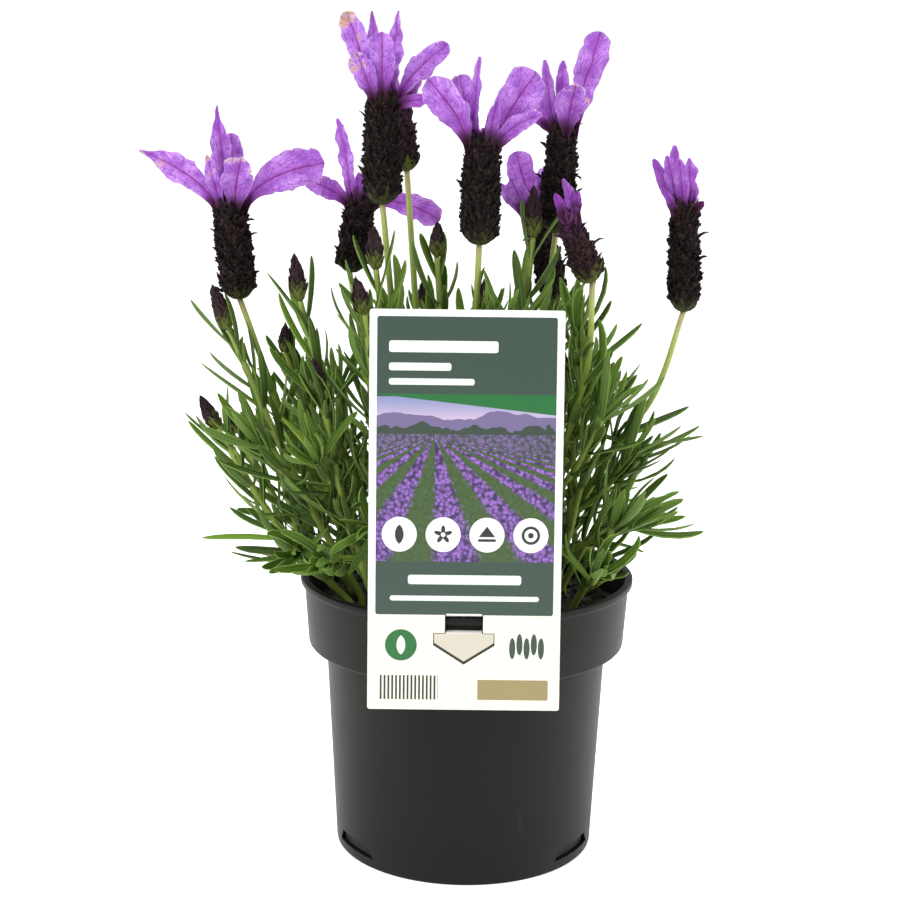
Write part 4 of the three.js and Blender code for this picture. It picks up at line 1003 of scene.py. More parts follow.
# %% [markdown]
# ## Spikes: their finish
# A spike looks black from a step away. Close by it is a crowd of maroon scales with dusty brown rims, the
# withered near-black corollas between them, and olive green scales at the foot. A painted texture would need
# each scale laid out flat, so the mesh stores three values for the finish instead: a scale's height in the
# spike, the share along the scale, and a tone.

# %% Spike finish
SPIKE_COLORS = dict(rim=(0.100, 0.056, 0.048), violet=(0.120, 0.030, 0.130))


def spike_finish(name, foot, heart, tip, green_to, violet=0.0):
    """Dust lightens heart to tip, the foot's colour fades out at a height of green_to, and violet adds a
    share of violet towards the top."""
    finish = Finish(name)
    rise, length, tone = finish.tint()
    dust = finish.noise(finish.place(), 900, 4, 0.6)
    color = finish.blend(finish.span(dust, 0.38, 0.66) * (0.35 + tone * 0.65), heart, tip)
    rim = finish.span(length, 0.5, 1.0) * finish.span(dust, 0.45, 0.7)
    color = finish.blend(rim * 0.4, color, SPIKE_COLORS["rim"])
    color = finish.blend(finish.span(rise + (dust - 0.5) * 0.2, green_to, 0.0), color, foot)
    if violet:
        color = finish.blend(finish.span(rise, 0.45, 1.0) * violet, color, SPIKE_COLORS["violet"])
    return finish.surface(Base_Color=color, Roughness=0.66 + dust * 0.25, Specular_IOR_Level=0.14,
                          Normal=finish.bump(dust, 0.5, 0.0005))


SPIKE_SCALES = spike_finish("dark_scales", foot=(0.042, 0.046, 0.012), heart=(0.003, 0.002, 0.003),
                            tip=(0.034, 0.018, 0.014), green_to=0.08)
YOUNG_SCALES = spike_finish("young_scales", foot=(0.08, 0.10, 0.02), heart=(0.014, 0.007, 0.008),
                            tip=(0.060, 0.026, 0.026), green_to=0.16, violet=0.8)
BUD_SCALES = spike_finish("bud_scales", foot=(0.110, 0.135, 0.026), heart=(0.018, 0.010, 0.012),
                          tip=(0.050, 0.026, 0.030), green_to=0.38)
print("finishes:", SPIKE_SCALES.name, YOUNG_SCALES.name, BUD_SCALES.name)

# %% [markdown]
# ## Spikes and buds
# Both are a core wrapped in rings of cupped pointed scales, each ring turned by half a scale. A bumpy barrel
# would do from far off, but its edge would be smooth. So the scales are real: they follow the core's own
# slope, and a few stand out, which gives the spike its ragged edge. Between them a spike has small crumpled
# corollas.

# %% Girths
TAPER = {3: 0.36, 5: 0.30, 7: 0.40}  # the share of its girth that a spike loses towards its top, or else 0.14
ROUND_FOOT, ROUND_TOP = 0.15, 0.9  # the shares of a spike's length where its foot ends and its top starts


def spike_girth(radius, taper):
    """A barrel with a round foot: a quarter circle over the first seventh, and a blunter one at the top."""
    def girth(share):
        foot = np.sqrt(1 - (1 - np.clip(share / ROUND_FOOT, 0.02, 1)) ** 2)
        top = np.sqrt(1 - np.clip((share - ROUND_TOP) / 0.16, 0, 0.9) ** 2)
        return radius * 0.80 * foot * top * (1 - taper * smooth(share, 0.35, 1))
    return girth


def bud_girth(radius):
    """An egg that ends in a point: a power of the height's distance to each end."""
    def girth(share):
        s = np.clip(share, 0.015, 0.995)
        return radius * 1.9 * s ** 0.5 * (1 - s) ** 0.85
    return girth


def slope(girth, rise, length):
    """The angle of a turned body's outline to its axis at a share of its length."""
    return np.arctan((girth(rise + 0.02) - girth(rise)) / (0.02 * length))


print("radius in the middle of a spike:", round(float(spike_girth(8.2, 0.14)(0.5)), 1))

# %% Scales
SCALE_OUTLINE = [(0, 0.6), (0.25, 0.95), (0.5, 0.95), (0.75, 0.6), (0.9, 0.28), (1.0, 0.04)]
SCALE_SECTION = [(1, 0.42), (0.5, 0.14), (-0.5, 0.14), (-1, 0.42), (-0.5, -0.06), (0.5, -0.06)]
SCALES = dict(sunk=0.93, lean=0.14, standing=0.14, stand=2.4, roll=0.25, twist=0.4)


def scales(body, foot, top, girth, rings, sides, size, width, flare, rng):
    """Rings of scales on a turned body. girth gives the core's radius at a share of its length. A scale lies
    along the core, from the slope at its root to the slope at its tip, and stands off by its own flare."""
    axis = unit(top - foot)
    length = np.linalg.norm(top - foot)
    side, up = frame_of(axis[None], FORWARD)
    n = rings * sides
    ring = np.repeat(np.arange(rings), sides)
    rise = (ring + rng.uniform(-0.3, 0.3, n)) / (rings - 1) * (1 - 0.6 * size / length)
    rise = np.clip(rise, 0.0, 1.0)
    turn = (np.tile(np.arange(sides), rings) + 0.5 * ring) * 2 * np.pi / sides + rng.normal(0, 0.1, n)
    away = np.cos(turn)[:, None] * side + np.sin(turn)[:, None] * up
    lift = slope(girth, rise, length)
    end = slope(girth, np.minimum(rise + 0.7 * size / length, 0.98), length)
    root = foot + rise[:, None] * length * axis + away * girth(rise)[:, None] * SCALES["sunk"]
    out = np.where(rng.random(n) < SCALES["standing"], flare * SCALES["stand"], flare)
    out = out * rng.uniform(0.2, 1.5, n) * smooth(rise, 0.02, 0.2)
    size, width = size * rng.uniform(0.75, 1.2, n), width * rng.uniform(0.8, 1.15, n)
    drift = [rng.normal(0, SCALES[name], (n, 1)) for name in ("roll", "twist")]
    points, share = blades(root, np.broadcast_to(axis, root.shape), away, size, width,
                           (lift + SCALES["lean"], end - lift + out), SCALE_OUTLINE, SCALE_SECTION, *drift)
    shape = points.shape[:3]
    tint = spread([rise[:, None, None], share[:, None], rng.random((n, 1, 1))], shape)
    body.add(points, tube_faces(*shape), (0, 0), tint)


print("corners of a scale:", len(SCALE_OUTLINE) * len(SCALE_SECTION))

# %% Cores and corollas
CORE = dict(rings=18, sides=20, sunk=0.97, lump=0.5, lump_length=5)
LATITUDES = np.array([-1.2, -0.6, 0.1, 0.7, 1.25])
LONGITUDES = np.arange(7) * 2 * np.pi / 7


def core(body, foot, top, girth, seed):
    """The body under the scales: girth turned about the axis, with small lumps, closed at both ends."""
    axis = unit(top - foot)
    share = np.linspace(0, 1, CORE["rings"])
    side, up = frame_of(axis[None], FORWARD)
    turn = np.linspace(0, 2 * np.pi, CORE["sides"], endpoint=False)[:, None]
    spoke = np.cos(turn) * side + np.sin(turn) * up
    middle = foot + share[:, None] * (top - foot)
    points = middle[:, None] + spoke * (girth(share) * CORE["sunk"])[:, None, None]
    points += spoke * (CORE["lump"] * ripple(points, CORE["lump_length"], seed))[..., None]
    shape = points.shape[:2]
    body.add(points, tube_faces(1, *shape), (0, 0), spread([share[:, None], 0.0, 0.2], shape))


def corollas(body, foot, top, girth, count, rng):
    """Withered florets: small crumpled balls of 5 rings, pushed through between the scales."""
    axis = unit(top - foot)
    side, up = frame_of(axis[None], FORWARD)
    rise, turn = rng.uniform(0.1, 0.95, count), rng.uniform(0, 2 * np.pi, count)
    away = np.cos(turn)[:, None] * side + np.sin(turn)[:, None] * up
    proud = girth(rise) + rng.uniform(-0.1, 0.9, count)
    middle = foot + rise[:, None] * (top - foot) + away * proud[:, None]
    way = unit(away + 0.8 * axis + rng.normal(0, 0.4, (count, 3)))
    across, over = frame_of(way, np.array([0.3, 1.0, 0.2]))
    shape = (count, len(LATITUDES), len(LONGITUDES))
    reach = rng.uniform(0.5, 1.1, (count, 1, 1)) * rng.uniform(0.5, 1.4, shape)
    flat = (reach * np.cos(LATITUDES)[:, None])[..., None]
    spokes = (np.cos(LONGITUDES)[:, None] * across[:, None, None]
              + np.sin(LONGITUDES)[:, None] * over[:, None, None])
    tall = (reach * np.sin(LATITUDES)[:, None] * 1.3)[..., None] * way[:, None, None]
    points = middle[:, None, None] + flat * spokes + tall
    tint = spread([0.5, 0.0, rng.uniform(0, 0.3, (count, 1, 1))], shape)
    body.add(points, tube_faces(*shape), (0, 0), tint)


print("corners of a corolla:", len(LATITUDES) * len(LONGITUDES))

# %% Spikes and buds
LYING = dict(size=5.0, width=3.7, flare=0.4)
STANDING = dict(size=7.2, width=3.8, flare=0.75)
RAGGED_STANDING = dict(size=7.2, width=3.8, flare=1.1)
BUD_LYING = dict(size=4.2, width=3.2, flare=0.12)
RAGGED, YOUNG = (5, 6, 7), (3, 7)  # the heads whose scales stand out most, and those still opening


def make_spike(k, flower):
    """A core, close rings of scales that lie on it, a few wide rings that stand out, and the corollas."""
    rng = np.random.default_rng(1000 + k)
    foot, top = np.array(flower["foot"], float), np.array(flower["top"], float)
    length, radius = np.linalg.norm(top - foot), flower["radius"]
    girth = spike_girth(radius, TAPER.get(k, 0.14))
    body = Body()
    core(body, foot, top, girth, k)
    scales(body, foot, top, girth, round(length / 2.0), round(radius * 1.75), **LYING, rng=rng)
    standing = RAGGED_STANDING if k in RAGGED else STANDING
    scales(body, foot, top, girth, round(length / 6), 5, **standing, rng=rng)
    corollas(body, foot, top, girth, int(length * radius * 0.9), rng)
    name = f"spike_{k + 1}"
    made = body.object(f"scaly_{name}", [YOUNG_SCALES if k in YOUNG else SPIKE_SCALES])
    return dress(made, "spike_scales", name)


def make_bud(k, foot, tip):
    """An egg-shaped core, thicker where it is longer, under rings of eight scales."""
    rng = np.random.default_rng(2000 + k)
    foot, tip = np.array(foot, float), np.array(tip, float)
    length = np.linalg.norm(tip - foot)
    girth = bud_girth(2.3 + 0.09 * length)
    body = Body()
    core(body, foot, tip, girth, 50 + k)
    scales(body, foot, tip, girth, max(6, round(length / 1.7)), 8, **BUD_LYING, rng=rng)
    name = f"bud_{k + 1}"
    return dress(body.object(f"scaly_{name}", [BUD_SCALES]), "bud_scales", name)


spikes = [make_spike(k, flower) for k, flower in enumerate(FLOWERS)]
buds = [make_bud(k, *bud) for k, bud in enumerate(BUDS)]
print("spike faces:", sum(len(s.data.polygons) for s in spikes))
print("bud faces:", sum(len(b.data.polygons) for b in buds))

# %% [markdown]
# ## Violet bracts: their finish
# The showy part of this lavender is not a flower but a tuft of papery bracts. They are light violet with a
# magenta midrib and a net of fine veins, dark maroon at the narrow base, and some have dried to pale lilac
# and tan at the tip. The net could be painted, but Voronoi cells drawn out towards the edges grow one that
# never repeats. The UV is in centimetres, so the net has one scale on large and small bracts alike.

# %% Bract finish
VIOLET = dict(deep=(0.270, 0.100, 0.500), light=(0.580, 0.320, 0.850), dark=(0.180, 0.035, 0.290),
              middle=(0.300, 0.065, 0.400), low=(0.200, 0.035, 0.310), vein=(0.175, 0.032, 0.270),
              rib=(0.140, 0.016, 0.100), claw=(0.030, 0.005, 0.020))
DRY = dict(lilac=(0.600, 0.480, 0.640), tan=(0.520, 0.360, 0.150), vein=(0.270, 0.075, 0.070))


def vein_nets(finish, x, y):
    """Lines between Voronoi cells, wide and narrow, in coordinates where the lines lean out to the edges."""
    leaning = finish.node("CombineXYZ", {}, {0: y * 2.2 - finish.absolute(x) * 4.0, 1: x * 3.6})
    return (finish.span(finish.cells(leaning, 1.6), 0.0, 0.10, 1.0, 0.0),
            finish.span(finish.cells(leaning, 4.2), 0.0, 0.16, 1.0, 0.0))


def petal_finish():
    """Cloudy violet, darker by its tone and along the middle and the base, then the dry tips, the veins, the
    rib and the claw over one another. y is the distance from the root in centimetres."""
    finish = Finish("violet_bracts")
    length, across, tone = finish.tint()
    flat = finish.place("UV")
    cloud = finish.noise(finish.place(), 160, 3)
    wobble = finish.node("TexNoise", {}, {"Vector": flat, "Scale": 2.5}, "Color")
    x, y, _ = finish.axes(finish.node("VectorMath", {"operation": "MULTIPLY_ADD"},
                                      {0: wobble, 1: (0.25, 0.25, 0.25), 2: flat}))
    net, fine = vein_nets(finish, x, y)
    rib = finish.span(across * (0.5 + length), 0.015, 0.085, 1.0, 0.0)
    color = finish.blend(finish.span(cloud, 0.3, 0.7), VIOLET["deep"], VIOLET["light"])
    color = finish.blend(tone, color, VIOLET["dark"])
    color = finish.blend(finish.span(across, 0.6, 0.0) * 0.5, color, VIOLET["middle"])
    color = finish.blend(finish.span(y, 2.3, 0.9) * 0.8, color, VIOLET["low"])
    dry = finish.span(length + (cloud - 0.5) * 1.3, 0.84, 1.0) * finish.span(tone, 0.06, 0.0)
    parched = finish.blend(finish.span(cloud, 0.5, 0.62), DRY["lilac"], DRY["tan"])
    color = finish.blend(dry * 0.92, color, parched)
    color = finish.blend(net * 0.62 + fine * 0.3, color, finish.blend(dry, VIOLET["vein"], DRY["vein"]))
    color = finish.blend(rib * 0.85, color, VIOLET["rib"])
    color = finish.blend(finish.span(y, 1.4, 0.75), color, VIOLET["claw"])
    height = 1 - (net * 0.5 + fine * 0.2 + rib)
    return finish.surface(Base_Color=color, Roughness=0.56 + cloud * 0.12, Specular_IOR_Level=0.2,
                          Subsurface_Weight=0.25, Subsurface_Radius=(0.9, 0.5, 1.0), Subsurface_Scale=0.002,
                          Normal=finish.bump(height + cloud * 0.5, 0.4, 0.0004))


PETALS = petal_finish()
print("finish:", PETALS.name)

# %% [markdown]
# ## Violet bracts
# Each bract is a sheet bent along a quadratic curve from the spike's top to the tip that the layout gives.
# It is narrow at its claw and widest past the middle, its edges wave and tear a little, and the whole sheet
# is crumpled by noise. A flat sheet with a cut-out picture would look flat wherever light grazes it, so all
# of this is in the mesh, and the sheet has a real thickness, front and back meeting at the edges.

# %% Bract sheets
BRACT = dict(stations=40, across=17, thick=0.32, thick_claw=1.8, handle=0.42, bias=0.04, cup=0.2,
             cup_claw=0.25, groove=0.45, droop=3.5)
CREASES = ((0.7, 11, 3), (0.22, 3.2, 5))  # the height, length and seed of the noise all over a sheet
RUFFLE = (0.9, 6, 4)  # the same for the noise at its edges
BRACT_OUTLINES = dict(
    broad=[(0, 0.22), (0.14, 0.24), (0.27, 0.42), (0.44, 0.80), (0.62, 1.02), (0.78, 1.08), (0.89, 0.96),
           (0.955, 0.72), (0.985, 0.45), (1.0, 0.12)],
    tailed=[(0, 0.3), (0.15, 0.34), (0.32, 0.66), (0.5, 1.0), (0.66, 0.96), (0.78, 0.66), (0.86, 0.34),
            (0.94, 0.2), (1.0, 0.08)],
    strap=[(0, 0.5), (0.15, 0.5), (0.4, 0.8), (0.62, 1.0), (0.8, 0.86), (0.92, 0.6), (1.0, 0.2)])


def edge_wave(lengths, seed):
    """How far an edge stands out, as a share of the half width: long waves, and short ones that tear it."""
    line = np.stack([lengths, 0 * lengths + 40 * seed, 0 * lengths], axis=-1)
    tear = np.minimum(ripple(line, 4, seed + 9) + 0.7, 0)
    return 0.15 * ripple(line, 9, seed + 7) + 0.035 * ripple(line, 2.5, seed + 8) + 0.22 * tear


def sheet_lift(flat, u, v, size, grows, droop, seed):
    """How far a sheet stands off its flat: a cup of u^2, creases, ruffled edges, a groove and a bent tip."""
    lift = BRACT["cup"] * size * u ** 2 * grows + BRACT["cup_claw"] * size * u ** 2 * (1 - grows)
    for height, length, draw in CREASES:
        lift = lift + height * ripple(flat, length, seed + draw) * grows
    height, length, draw = RUFFLE
    lift = lift + height * ripple(flat, length, seed + draw) * abs(u) ** 2.5 * grows
    lift = lift - BRACT["groove"] * np.exp(-(u / 0.14) ** 2) * (1 - 0.5 * v[:, None])
    return lift - droop * smooth(v, 0.72, 1.05)[:, None]


def add_bract(body, root, tip, start, looks, width, outline, tone, seed):
    """A crumpled sheet. At (u, v) it is curve(v) + side * u * half(v) + face * lift(u, v), where half(v) is
    the outline with a wavy edge, side = way x looks and face = side x way."""
    rng = np.random.default_rng(seed)
    curve = bow(root, root + start * np.linalg.norm(tip - root) * BRACT["handle"], tip, 40)
    v = np.linspace(0, 1, BRACT["stations"]) ** 0.9
    middle, way, length = along(curve, v)
    side = unit(np.cross(way, looks))
    face = np.cross(side, way)
    u = np.cos(np.linspace(0, np.pi, BRACT["across"]))
    u = np.sign(u) * abs(u) ** 1.15
    share, broad = np.array(BRACT_OUTLINES[outline]).T
    bias = rng.normal(0, BRACT["bias"], 2)
    half = [np.interp(v + bias[i] * np.sin(np.pi * v), share, broad) * width / 2 for i in range(2)]
    grows = smooth(v, 0.15, 0.5)
    half = [h * (1 + edge_wave(v * length, seed + 31 * i) * grows) for i, h in enumerate(half)]
    across = np.where(u > 0, u * half[0][:, None], u * half[1][:, None])
    flat = np.stack([across, np.broadcast_to(v[:, None] * length, across.shape),
                     np.full(across.shape, 37.0 * seed)], axis=-1)
    lift = sheet_lift(flat, u, v, width / 2, grows[:, None], rng.uniform(0, BRACT["droop"]), seed)
    sheet = middle[:, None] + side[:, None] * across[..., None] + face[:, None] * lift[..., None]
    thick = BRACT["thick"] * (1 + BRACT["thick_claw"] * (1 - smooth(v, 0, 0.3)))[:, None]
    thick = thick * np.sqrt(1 - 0.98 * u ** 2) / 2
    front = sheet - face[:, None] * thick[..., None]
    back = sheet + face[:, None] * thick[..., None]
    loop = np.concatenate([front, back[:, -2:0:-1]], axis=1)
    around = np.concatenate([np.arange(len(u)), np.arange(len(u) - 2, 0, -1)])
    shape = loop.shape[:2]
    uv = (flat[..., :2] / 10)[:, around].reshape(-1, 2)
    tints = spread([v[:, None], abs(u)[around], tone], shape)
    body.add(loop, tube_faces(1, *shape), uv, np.clip(tints, 0, 1))


print("corners of a bract:", BRACT["stations"] * 2 * (BRACT["across"] - 1))

# %% Tufts of bracts
SMALL_BRACTS = 6  # the short ones in the middle of a tuft, on spikes of more than 6.5 mm radius
TAILED = {(0, 0), (0, 1), (2, 1), (2, 3)}  # (head, bract) that ends in a narrow tail
DARKNESS = {0: 0.22, 4: 0.08, 6: 0.44, 7: 0.60}  # how dark a head's bracts are, or else 0.12
DRY_TIPS = {(0, 0), (0, 3), (0, 5), (1, 0), (2, 0), (2, 6), (5, 4)}  # (head, bract) with tan papery tips
LOOKS = np.array([0, -0.8, 0.2])  # the way that a bract's upper face is turned, before its own lean is added
WIDER = 1.08


def small_bracts(flower, axis, side, up, rng):
    """(tip, width, True) of the short bracts that close a tuft's middle, at random turns about the axis."""
    top = np.array(flower["top"], float)
    aims = []
    for turn in rng.uniform(0, 2 * np.pi, SMALL_BRACTS if flower["radius"] > 6.5 else 0):
        out = math.cos(turn) * side + math.sin(turn) * up
        aims.append((top + axis * rng.uniform(4, 11) + out * rng.uniform(2, 6), rng.uniform(2.6, 3.8), True))
    return aims


def make_crest(k, flower):
    """The layout's bracts and the small ones. Each has its root inside the spike, on the side of its tip, and
    leaves it nearly along the spike's axis."""
    rng = np.random.default_rng(3000 + k)
    foot, top = np.array(flower["foot"], float), np.array(flower["top"], float)
    axis = unit(top - foot)
    side, up = (vectors[0] for vectors in frame_of(axis[None], FORWARD))
    body = Body()
    aims = [(np.array(p[:3], float), p[3], False) for p in flower["petals"]]
    aims += small_bracts(flower, axis, side, up, rng)
    for i, (tip, width, is_small) in enumerate(aims):
        flat = tip - top
        flat = flat - dot(flat, axis) * axis
        away = unit(flat) if np.linalg.norm(flat) > 1 else side
        middle = rng.uniform(0.1, 0.45) if is_small else rng.uniform(0.42, 0.6)
        root = top - axis * rng.uniform(4, 8) + away * flower["radius"] * middle
        start = unit(axis + unit(tip - root) * 0.35)
        outline = "tailed" if (k, i) in TAILED else "broad" if width > 7.5 else "strap"
        tone = 0.9 if is_small else DARKNESS.get(k, 0.12) + 0.3 * (width < 6)
        tone = 0 if (k, i) in DRY_TIPS else max(tone + 0.07 * rng.normal(), 0.08)
        looks = LOOKS + 0.35 * away
        add_bract(body, root, tip, start, looks, width * WIDER, outline, tone, 4000 + 20 * k + i)
    name = f"crest_{k + 1}"
    return dress(body.object(f"violet_{name}", [PETALS]), "crest_petals", name)


crests = [make_crest(k, flower) for k, flower in enumerate(FLOWERS)]
print("bract faces:", sum(len(c.data.polygons) for c in crests))

# %% [markdown]
# ## Card: its print
# The card is coated white plastic. Its print is a plain design of its own, in the greens, cream and gold of
# a nursery label: a green header with pale bars, a picture of lavender rows, round badges, a green band, and
# a cream footer with stripes and leaves. A picture file could hold it, but shapes drawn by nodes stay sharp
# at any size and need no file. Each shape is a test of the UV, which is in centimetres from the card's foot:
# a node chain gives 1 inside the shape, and a blend lays its colour over what lies below.

# %% Shapes of the print
def box(x, y, left, right, low, high, corner=0.0):
    """1 inside a rectangle with rounded corners: the distance past a corner's centre is under its radius."""
    finish = x.finish
    across = finish.most(finish.absolute(x - (left + right) / 2) - (right - left) / 2 + corner, 0.0)
    up = finish.most(finish.absolute(y - (low + high) / 2) - (high - low) / 2 + corner, 0.0)
    return (across * across + up * up) < max(corner, 0.004) ** 2


def oval(x, y, centre_x, centre_y, radius_x, radius_y):
    """1 inside an ellipse: (x/a)^2 + (y/b)^2 < 1."""
    across, up = (x - centre_x) / radius_x, (y - centre_y) / radius_y
    return (across * across + up * up) < 1.0


def leaf_mark(x, y):
    """Where two ovals cross."""
    return oval(x, y, -0.13, 0, 0.3, 0.42) * oval(x, y, 0.13, 0, 0.3, 0.42)


def flower_mark(x, y):
    """Five petals: the radius less a cosine of five times the angle."""
    turn = x.finish.node("Math", {"operation": "ARCTAN2"}, {0: x, 1: y})
    wave = x.finish.node("Math", {"operation": "COSINE"}, {0: turn * 5})
    return (((x * x + y * y) ** 0.5 - wave * 0.11) < 0.25) * (1 - oval(x, y, 0, 0, 0.09, 0.09))


def hill_mark(x, y):
    """A triangle on a bar."""
    return ((y + x.finish.absolute(x) * 1.3) < 0.34) * (y > -0.08) + box(x, y, -0.34, 0.34, -0.26, -0.16)


def ring_mark(x, y):
    """A ring round a dot."""
    return oval(x, y, 0, 0, 0.36, 0.36) * (1 - oval(x, y, 0, 0, 0.25, 0.25)) + oval(x, y, 0, 0, 0.11, 0.11)


MARKS = (leaf_mark, flower_mark, hill_mark, ring_mark)
print("marks:", [mark.__name__ for mark in MARKS])

# %% Lavender field
FIELD = dict(bloom=(0.36, 0.17, 0.62), shade=(0.030, 0.016, 0.075), earth=(0.010, 0.028, 0.008),
             grass=(0.075, 0.14, 0.035), sky_low=(0.62, 0.46, 0.62), sky_high=(0.20, 0.24, 0.42),
             far_hill=(0.15, 0.12, 0.24), near_hill=(0.030, 0.052, 0.036))
HORIZON = 10.8


def field(finish, x, y):
    """Rows of lavender running to a hill: the rows' phase is x over the distance below the horizon."""
    depth = finish.most(HORIZON - y, 0.12)
    rows = finish.node("Math", {"operation": "SINE"}, {0: (x + 1.2) / depth * 9.0})
    place = finish.node("CombineXYZ", {}, {0: x, 1: y})
    speckle = finish.cells(place, 7, "F1")
    fuzz = finish.noise(place, 6, 4)
    violet = finish.blend(speckle * 1.3, FIELD["bloom"], FIELD["shade"])
    earth = finish.blend(fuzz, FIELD["earth"], FIELD["grass"])
    ground = finish.blend(finish.span(rows + (fuzz - 0.5) * 2.4, -0.35, 0.35), earth, violet)
    sky = finish.blend(finish.span(y, HORIZON, HORIZON + 1.6), FIELD["sky_low"], FIELD["sky_high"])
    for rise, rough, color in ((0.75, 0.5, FIELD["far_hill"]), (0.28, 0.9, FIELD["near_hill"])):
        top = HORIZON + rise + (finish.noise(place, rough, 3) - 0.5) * 1.3
        sky = finish.blend(y < top, sky, color)
    return finish.blend(y < HORIZON, sky, ground)


print("horizon, cm from the card's foot:", HORIZON)

# %% Card finishes
TONGUE = dict(tip=18.3, cheek=25.6, shoulder=30, root=38, neck=14.2, head=23.2, thick=0.7, kerf=0.35)
GREEN, BRIGHT, CREAM = (0.032, 0.060, 0.043), (0.010, 0.130, 0.028), (0.780, 0.762, 0.640)
GOLD, WHITE, PALE = (0.300, 0.235, 0.100), (0.80, 0.80, 0.79), (0.70, 0.76, 0.70)
# BLACK is the ink of the marks and stripes, and also the painted shadow along the point of the tongue's head
BLACK, TONGUE_HEAD = (0.02, 0.022, 0.02), (0.560, 0.520, 0.430)
BLANK_CARD = ((0.84, 0.83, 0.79), (0.90, 0.89, 0.85))
PRINT = dict(side=3.46, top=15.33, header=12.25, picture=5.85, footer=3.75)  # cm, the last four from the foot
BARS = ((-3.0, 1.2, 13.95, 14.4), (-3.0, -0.6, 13.25, 13.55), (-3.0, 0.3, 12.7, 12.95),
        (-2.2, 2.2, 4.95, 5.32), (-2.9, 2.9, 4.3, 4.5))  # left, right, low and high
BADGES = dict(first=-2.55, step=1.7, height=6.9, radius=0.68)
STRIPES = dict(left=-3.3, right=-1.0, low=0.4, high=1.35, width=0.075)
PANEL = (0.55, 3.3, 0.4, 1.2, 0.05)
DROP = (-2.45, 2.55, 0.62)
SPRIGS = dict(count=5, middle=2.45, step=0.28, rise=0.16, wide=0.12, tall=0.42)


def card_picture(finish, x, y):
    """White edge, cream footer, the picture, the green header and band, and a bright slant between them."""
    side, top, header, picture, footer = PRINT.values()
    printed = box(x, y, -side, side, footer, top, 0.1)
    color = finish.blend(y < footer, WHITE, CREAM)
    color = finish.blend(printed, color, field(finish, x, y))
    color = finish.blend(printed * (y > header), color, GREEN)
    color = finish.blend(printed * (y < picture), color, GREEN)
    slant = printed * (y < header + 0.1) * ((y + x * 0.11) > 11.95)
    return finish.blend(slant, color, BRIGHT)


def card_marks(finish, x, y, color):
    """Bars for lines of text, badges with a mark each, and the footer's panel, stripes, leaf and sprigs."""
    for bar in BARS:
        color = finish.blend(box(x, y, *bar, 0.1), color, PALE)
    height, radius = BADGES["height"], BADGES["radius"]
    for i, mark in enumerate(MARKS):
        middle = BADGES["first"] + BADGES["step"] * i
        color = finish.blend(oval(x, y, middle, height, radius, radius), color, WHITE)
        color = finish.blend(mark(x - middle, y - height), color, BLACK)
    color = finish.blend(box(x, y, *PANEL), color, GOLD)
    left, right, low, high, width = STRIPES.values()
    is_stripe = finish.node("Math", {"operation": "PINGPONG"}, {0: x, 1: width}) > width / 2
    color = finish.blend(box(x, y, left, right, low, high) * is_stripe, color, BLACK)
    color = finish.blend(oval(x, y, *DROP, DROP[2]), color, BRIGHT)
    color = finish.blend(leaf_mark(x - DROP[0], y - DROP[1]), color, CREAM)
    for i in range(SPRIGS["count"]):
        across, up = SPRIGS["middle"] + SPRIGS["step"] * (i - 2), SPRIGS["middle"] + SPRIGS["rise"] * (i % 2)
        color = finish.blend(oval(x, y, across, up, SPRIGS["wide"], SPRIGS["tall"]), color, GREEN)
    return color


def print_finish():
    """The picture with its marks, and on the tongue's head a beige with a painted shadow along its point."""
    finish = Finish("printed_card")
    x, y, _ = finish.axes(finish.place("UV"))
    color = card_marks(finish, x, y, card_picture(finish, x, y))
    steep = (TONGUE["cheek"] - TONGUE["tip"]) / (TONGUE["head"] / 2)
    rise = y - TONGUE["tip"] / 10 - finish.absolute(x) * steep
    is_head = finish.tint()[0]
    color = finish.blend(is_head, color, TONGUE_HEAD)
    # painted shadow: a black line along the edges of the head's point, for the shade in the gap round it
    color = finish.blend(is_head * (rise < 0.09), color, BLACK)
    sheen = finish.noise(finish.place(), 90, 3)
    return finish.surface(Base_Color=color, Roughness=0.34 + sheen * 0.08, Coat_Weight=0.15,
                          Coat_Roughness=0.3)


def plain_card_finish():
    """The unprinted back and the edges: white with hardly any cloud."""
    finish = Finish("plain_card")
    sheen = finish.noise(finish.place(), 260, 4)
    return finish.surface(Base_Color=finish.blend(sheen, *BLANK_CARD), Roughness=0.42 + sheen * 0.1)


CARD_FINISHES = [print_finish(), plain_card_finish()]
print("finishes:", [finish.name for finish in CARD_FINISHES])

# %% [markdown]
# ## Card
# The card is one die-cut blank: a tongue shaped like an arrow is cut out of it near the foot, goes back over
# the rim, down inside the pot and out through the slot, and its head comes back in front. A boolean could cut
# the opening, but the cutter and the tongue would then be drawn apart and drift. Here one arrow outline makes
# both. The blank and the head are flat plates, and the neck is a strip carried along its route.

# %% Plates
def on_card(flat, out):
    """Points of the card from (right, up) along its face and a distance out of its front."""
    lean, (x, y, z) = CARD["lean"], CARD["foot"]
    right, up = flat[..., 0], flat[..., 1]
    return np.stack([x + right, y + up * math.sin(lean) - out * math.cos(lean),
                     z + up * math.cos(lean) + out * math.sin(lean)], axis=-1)


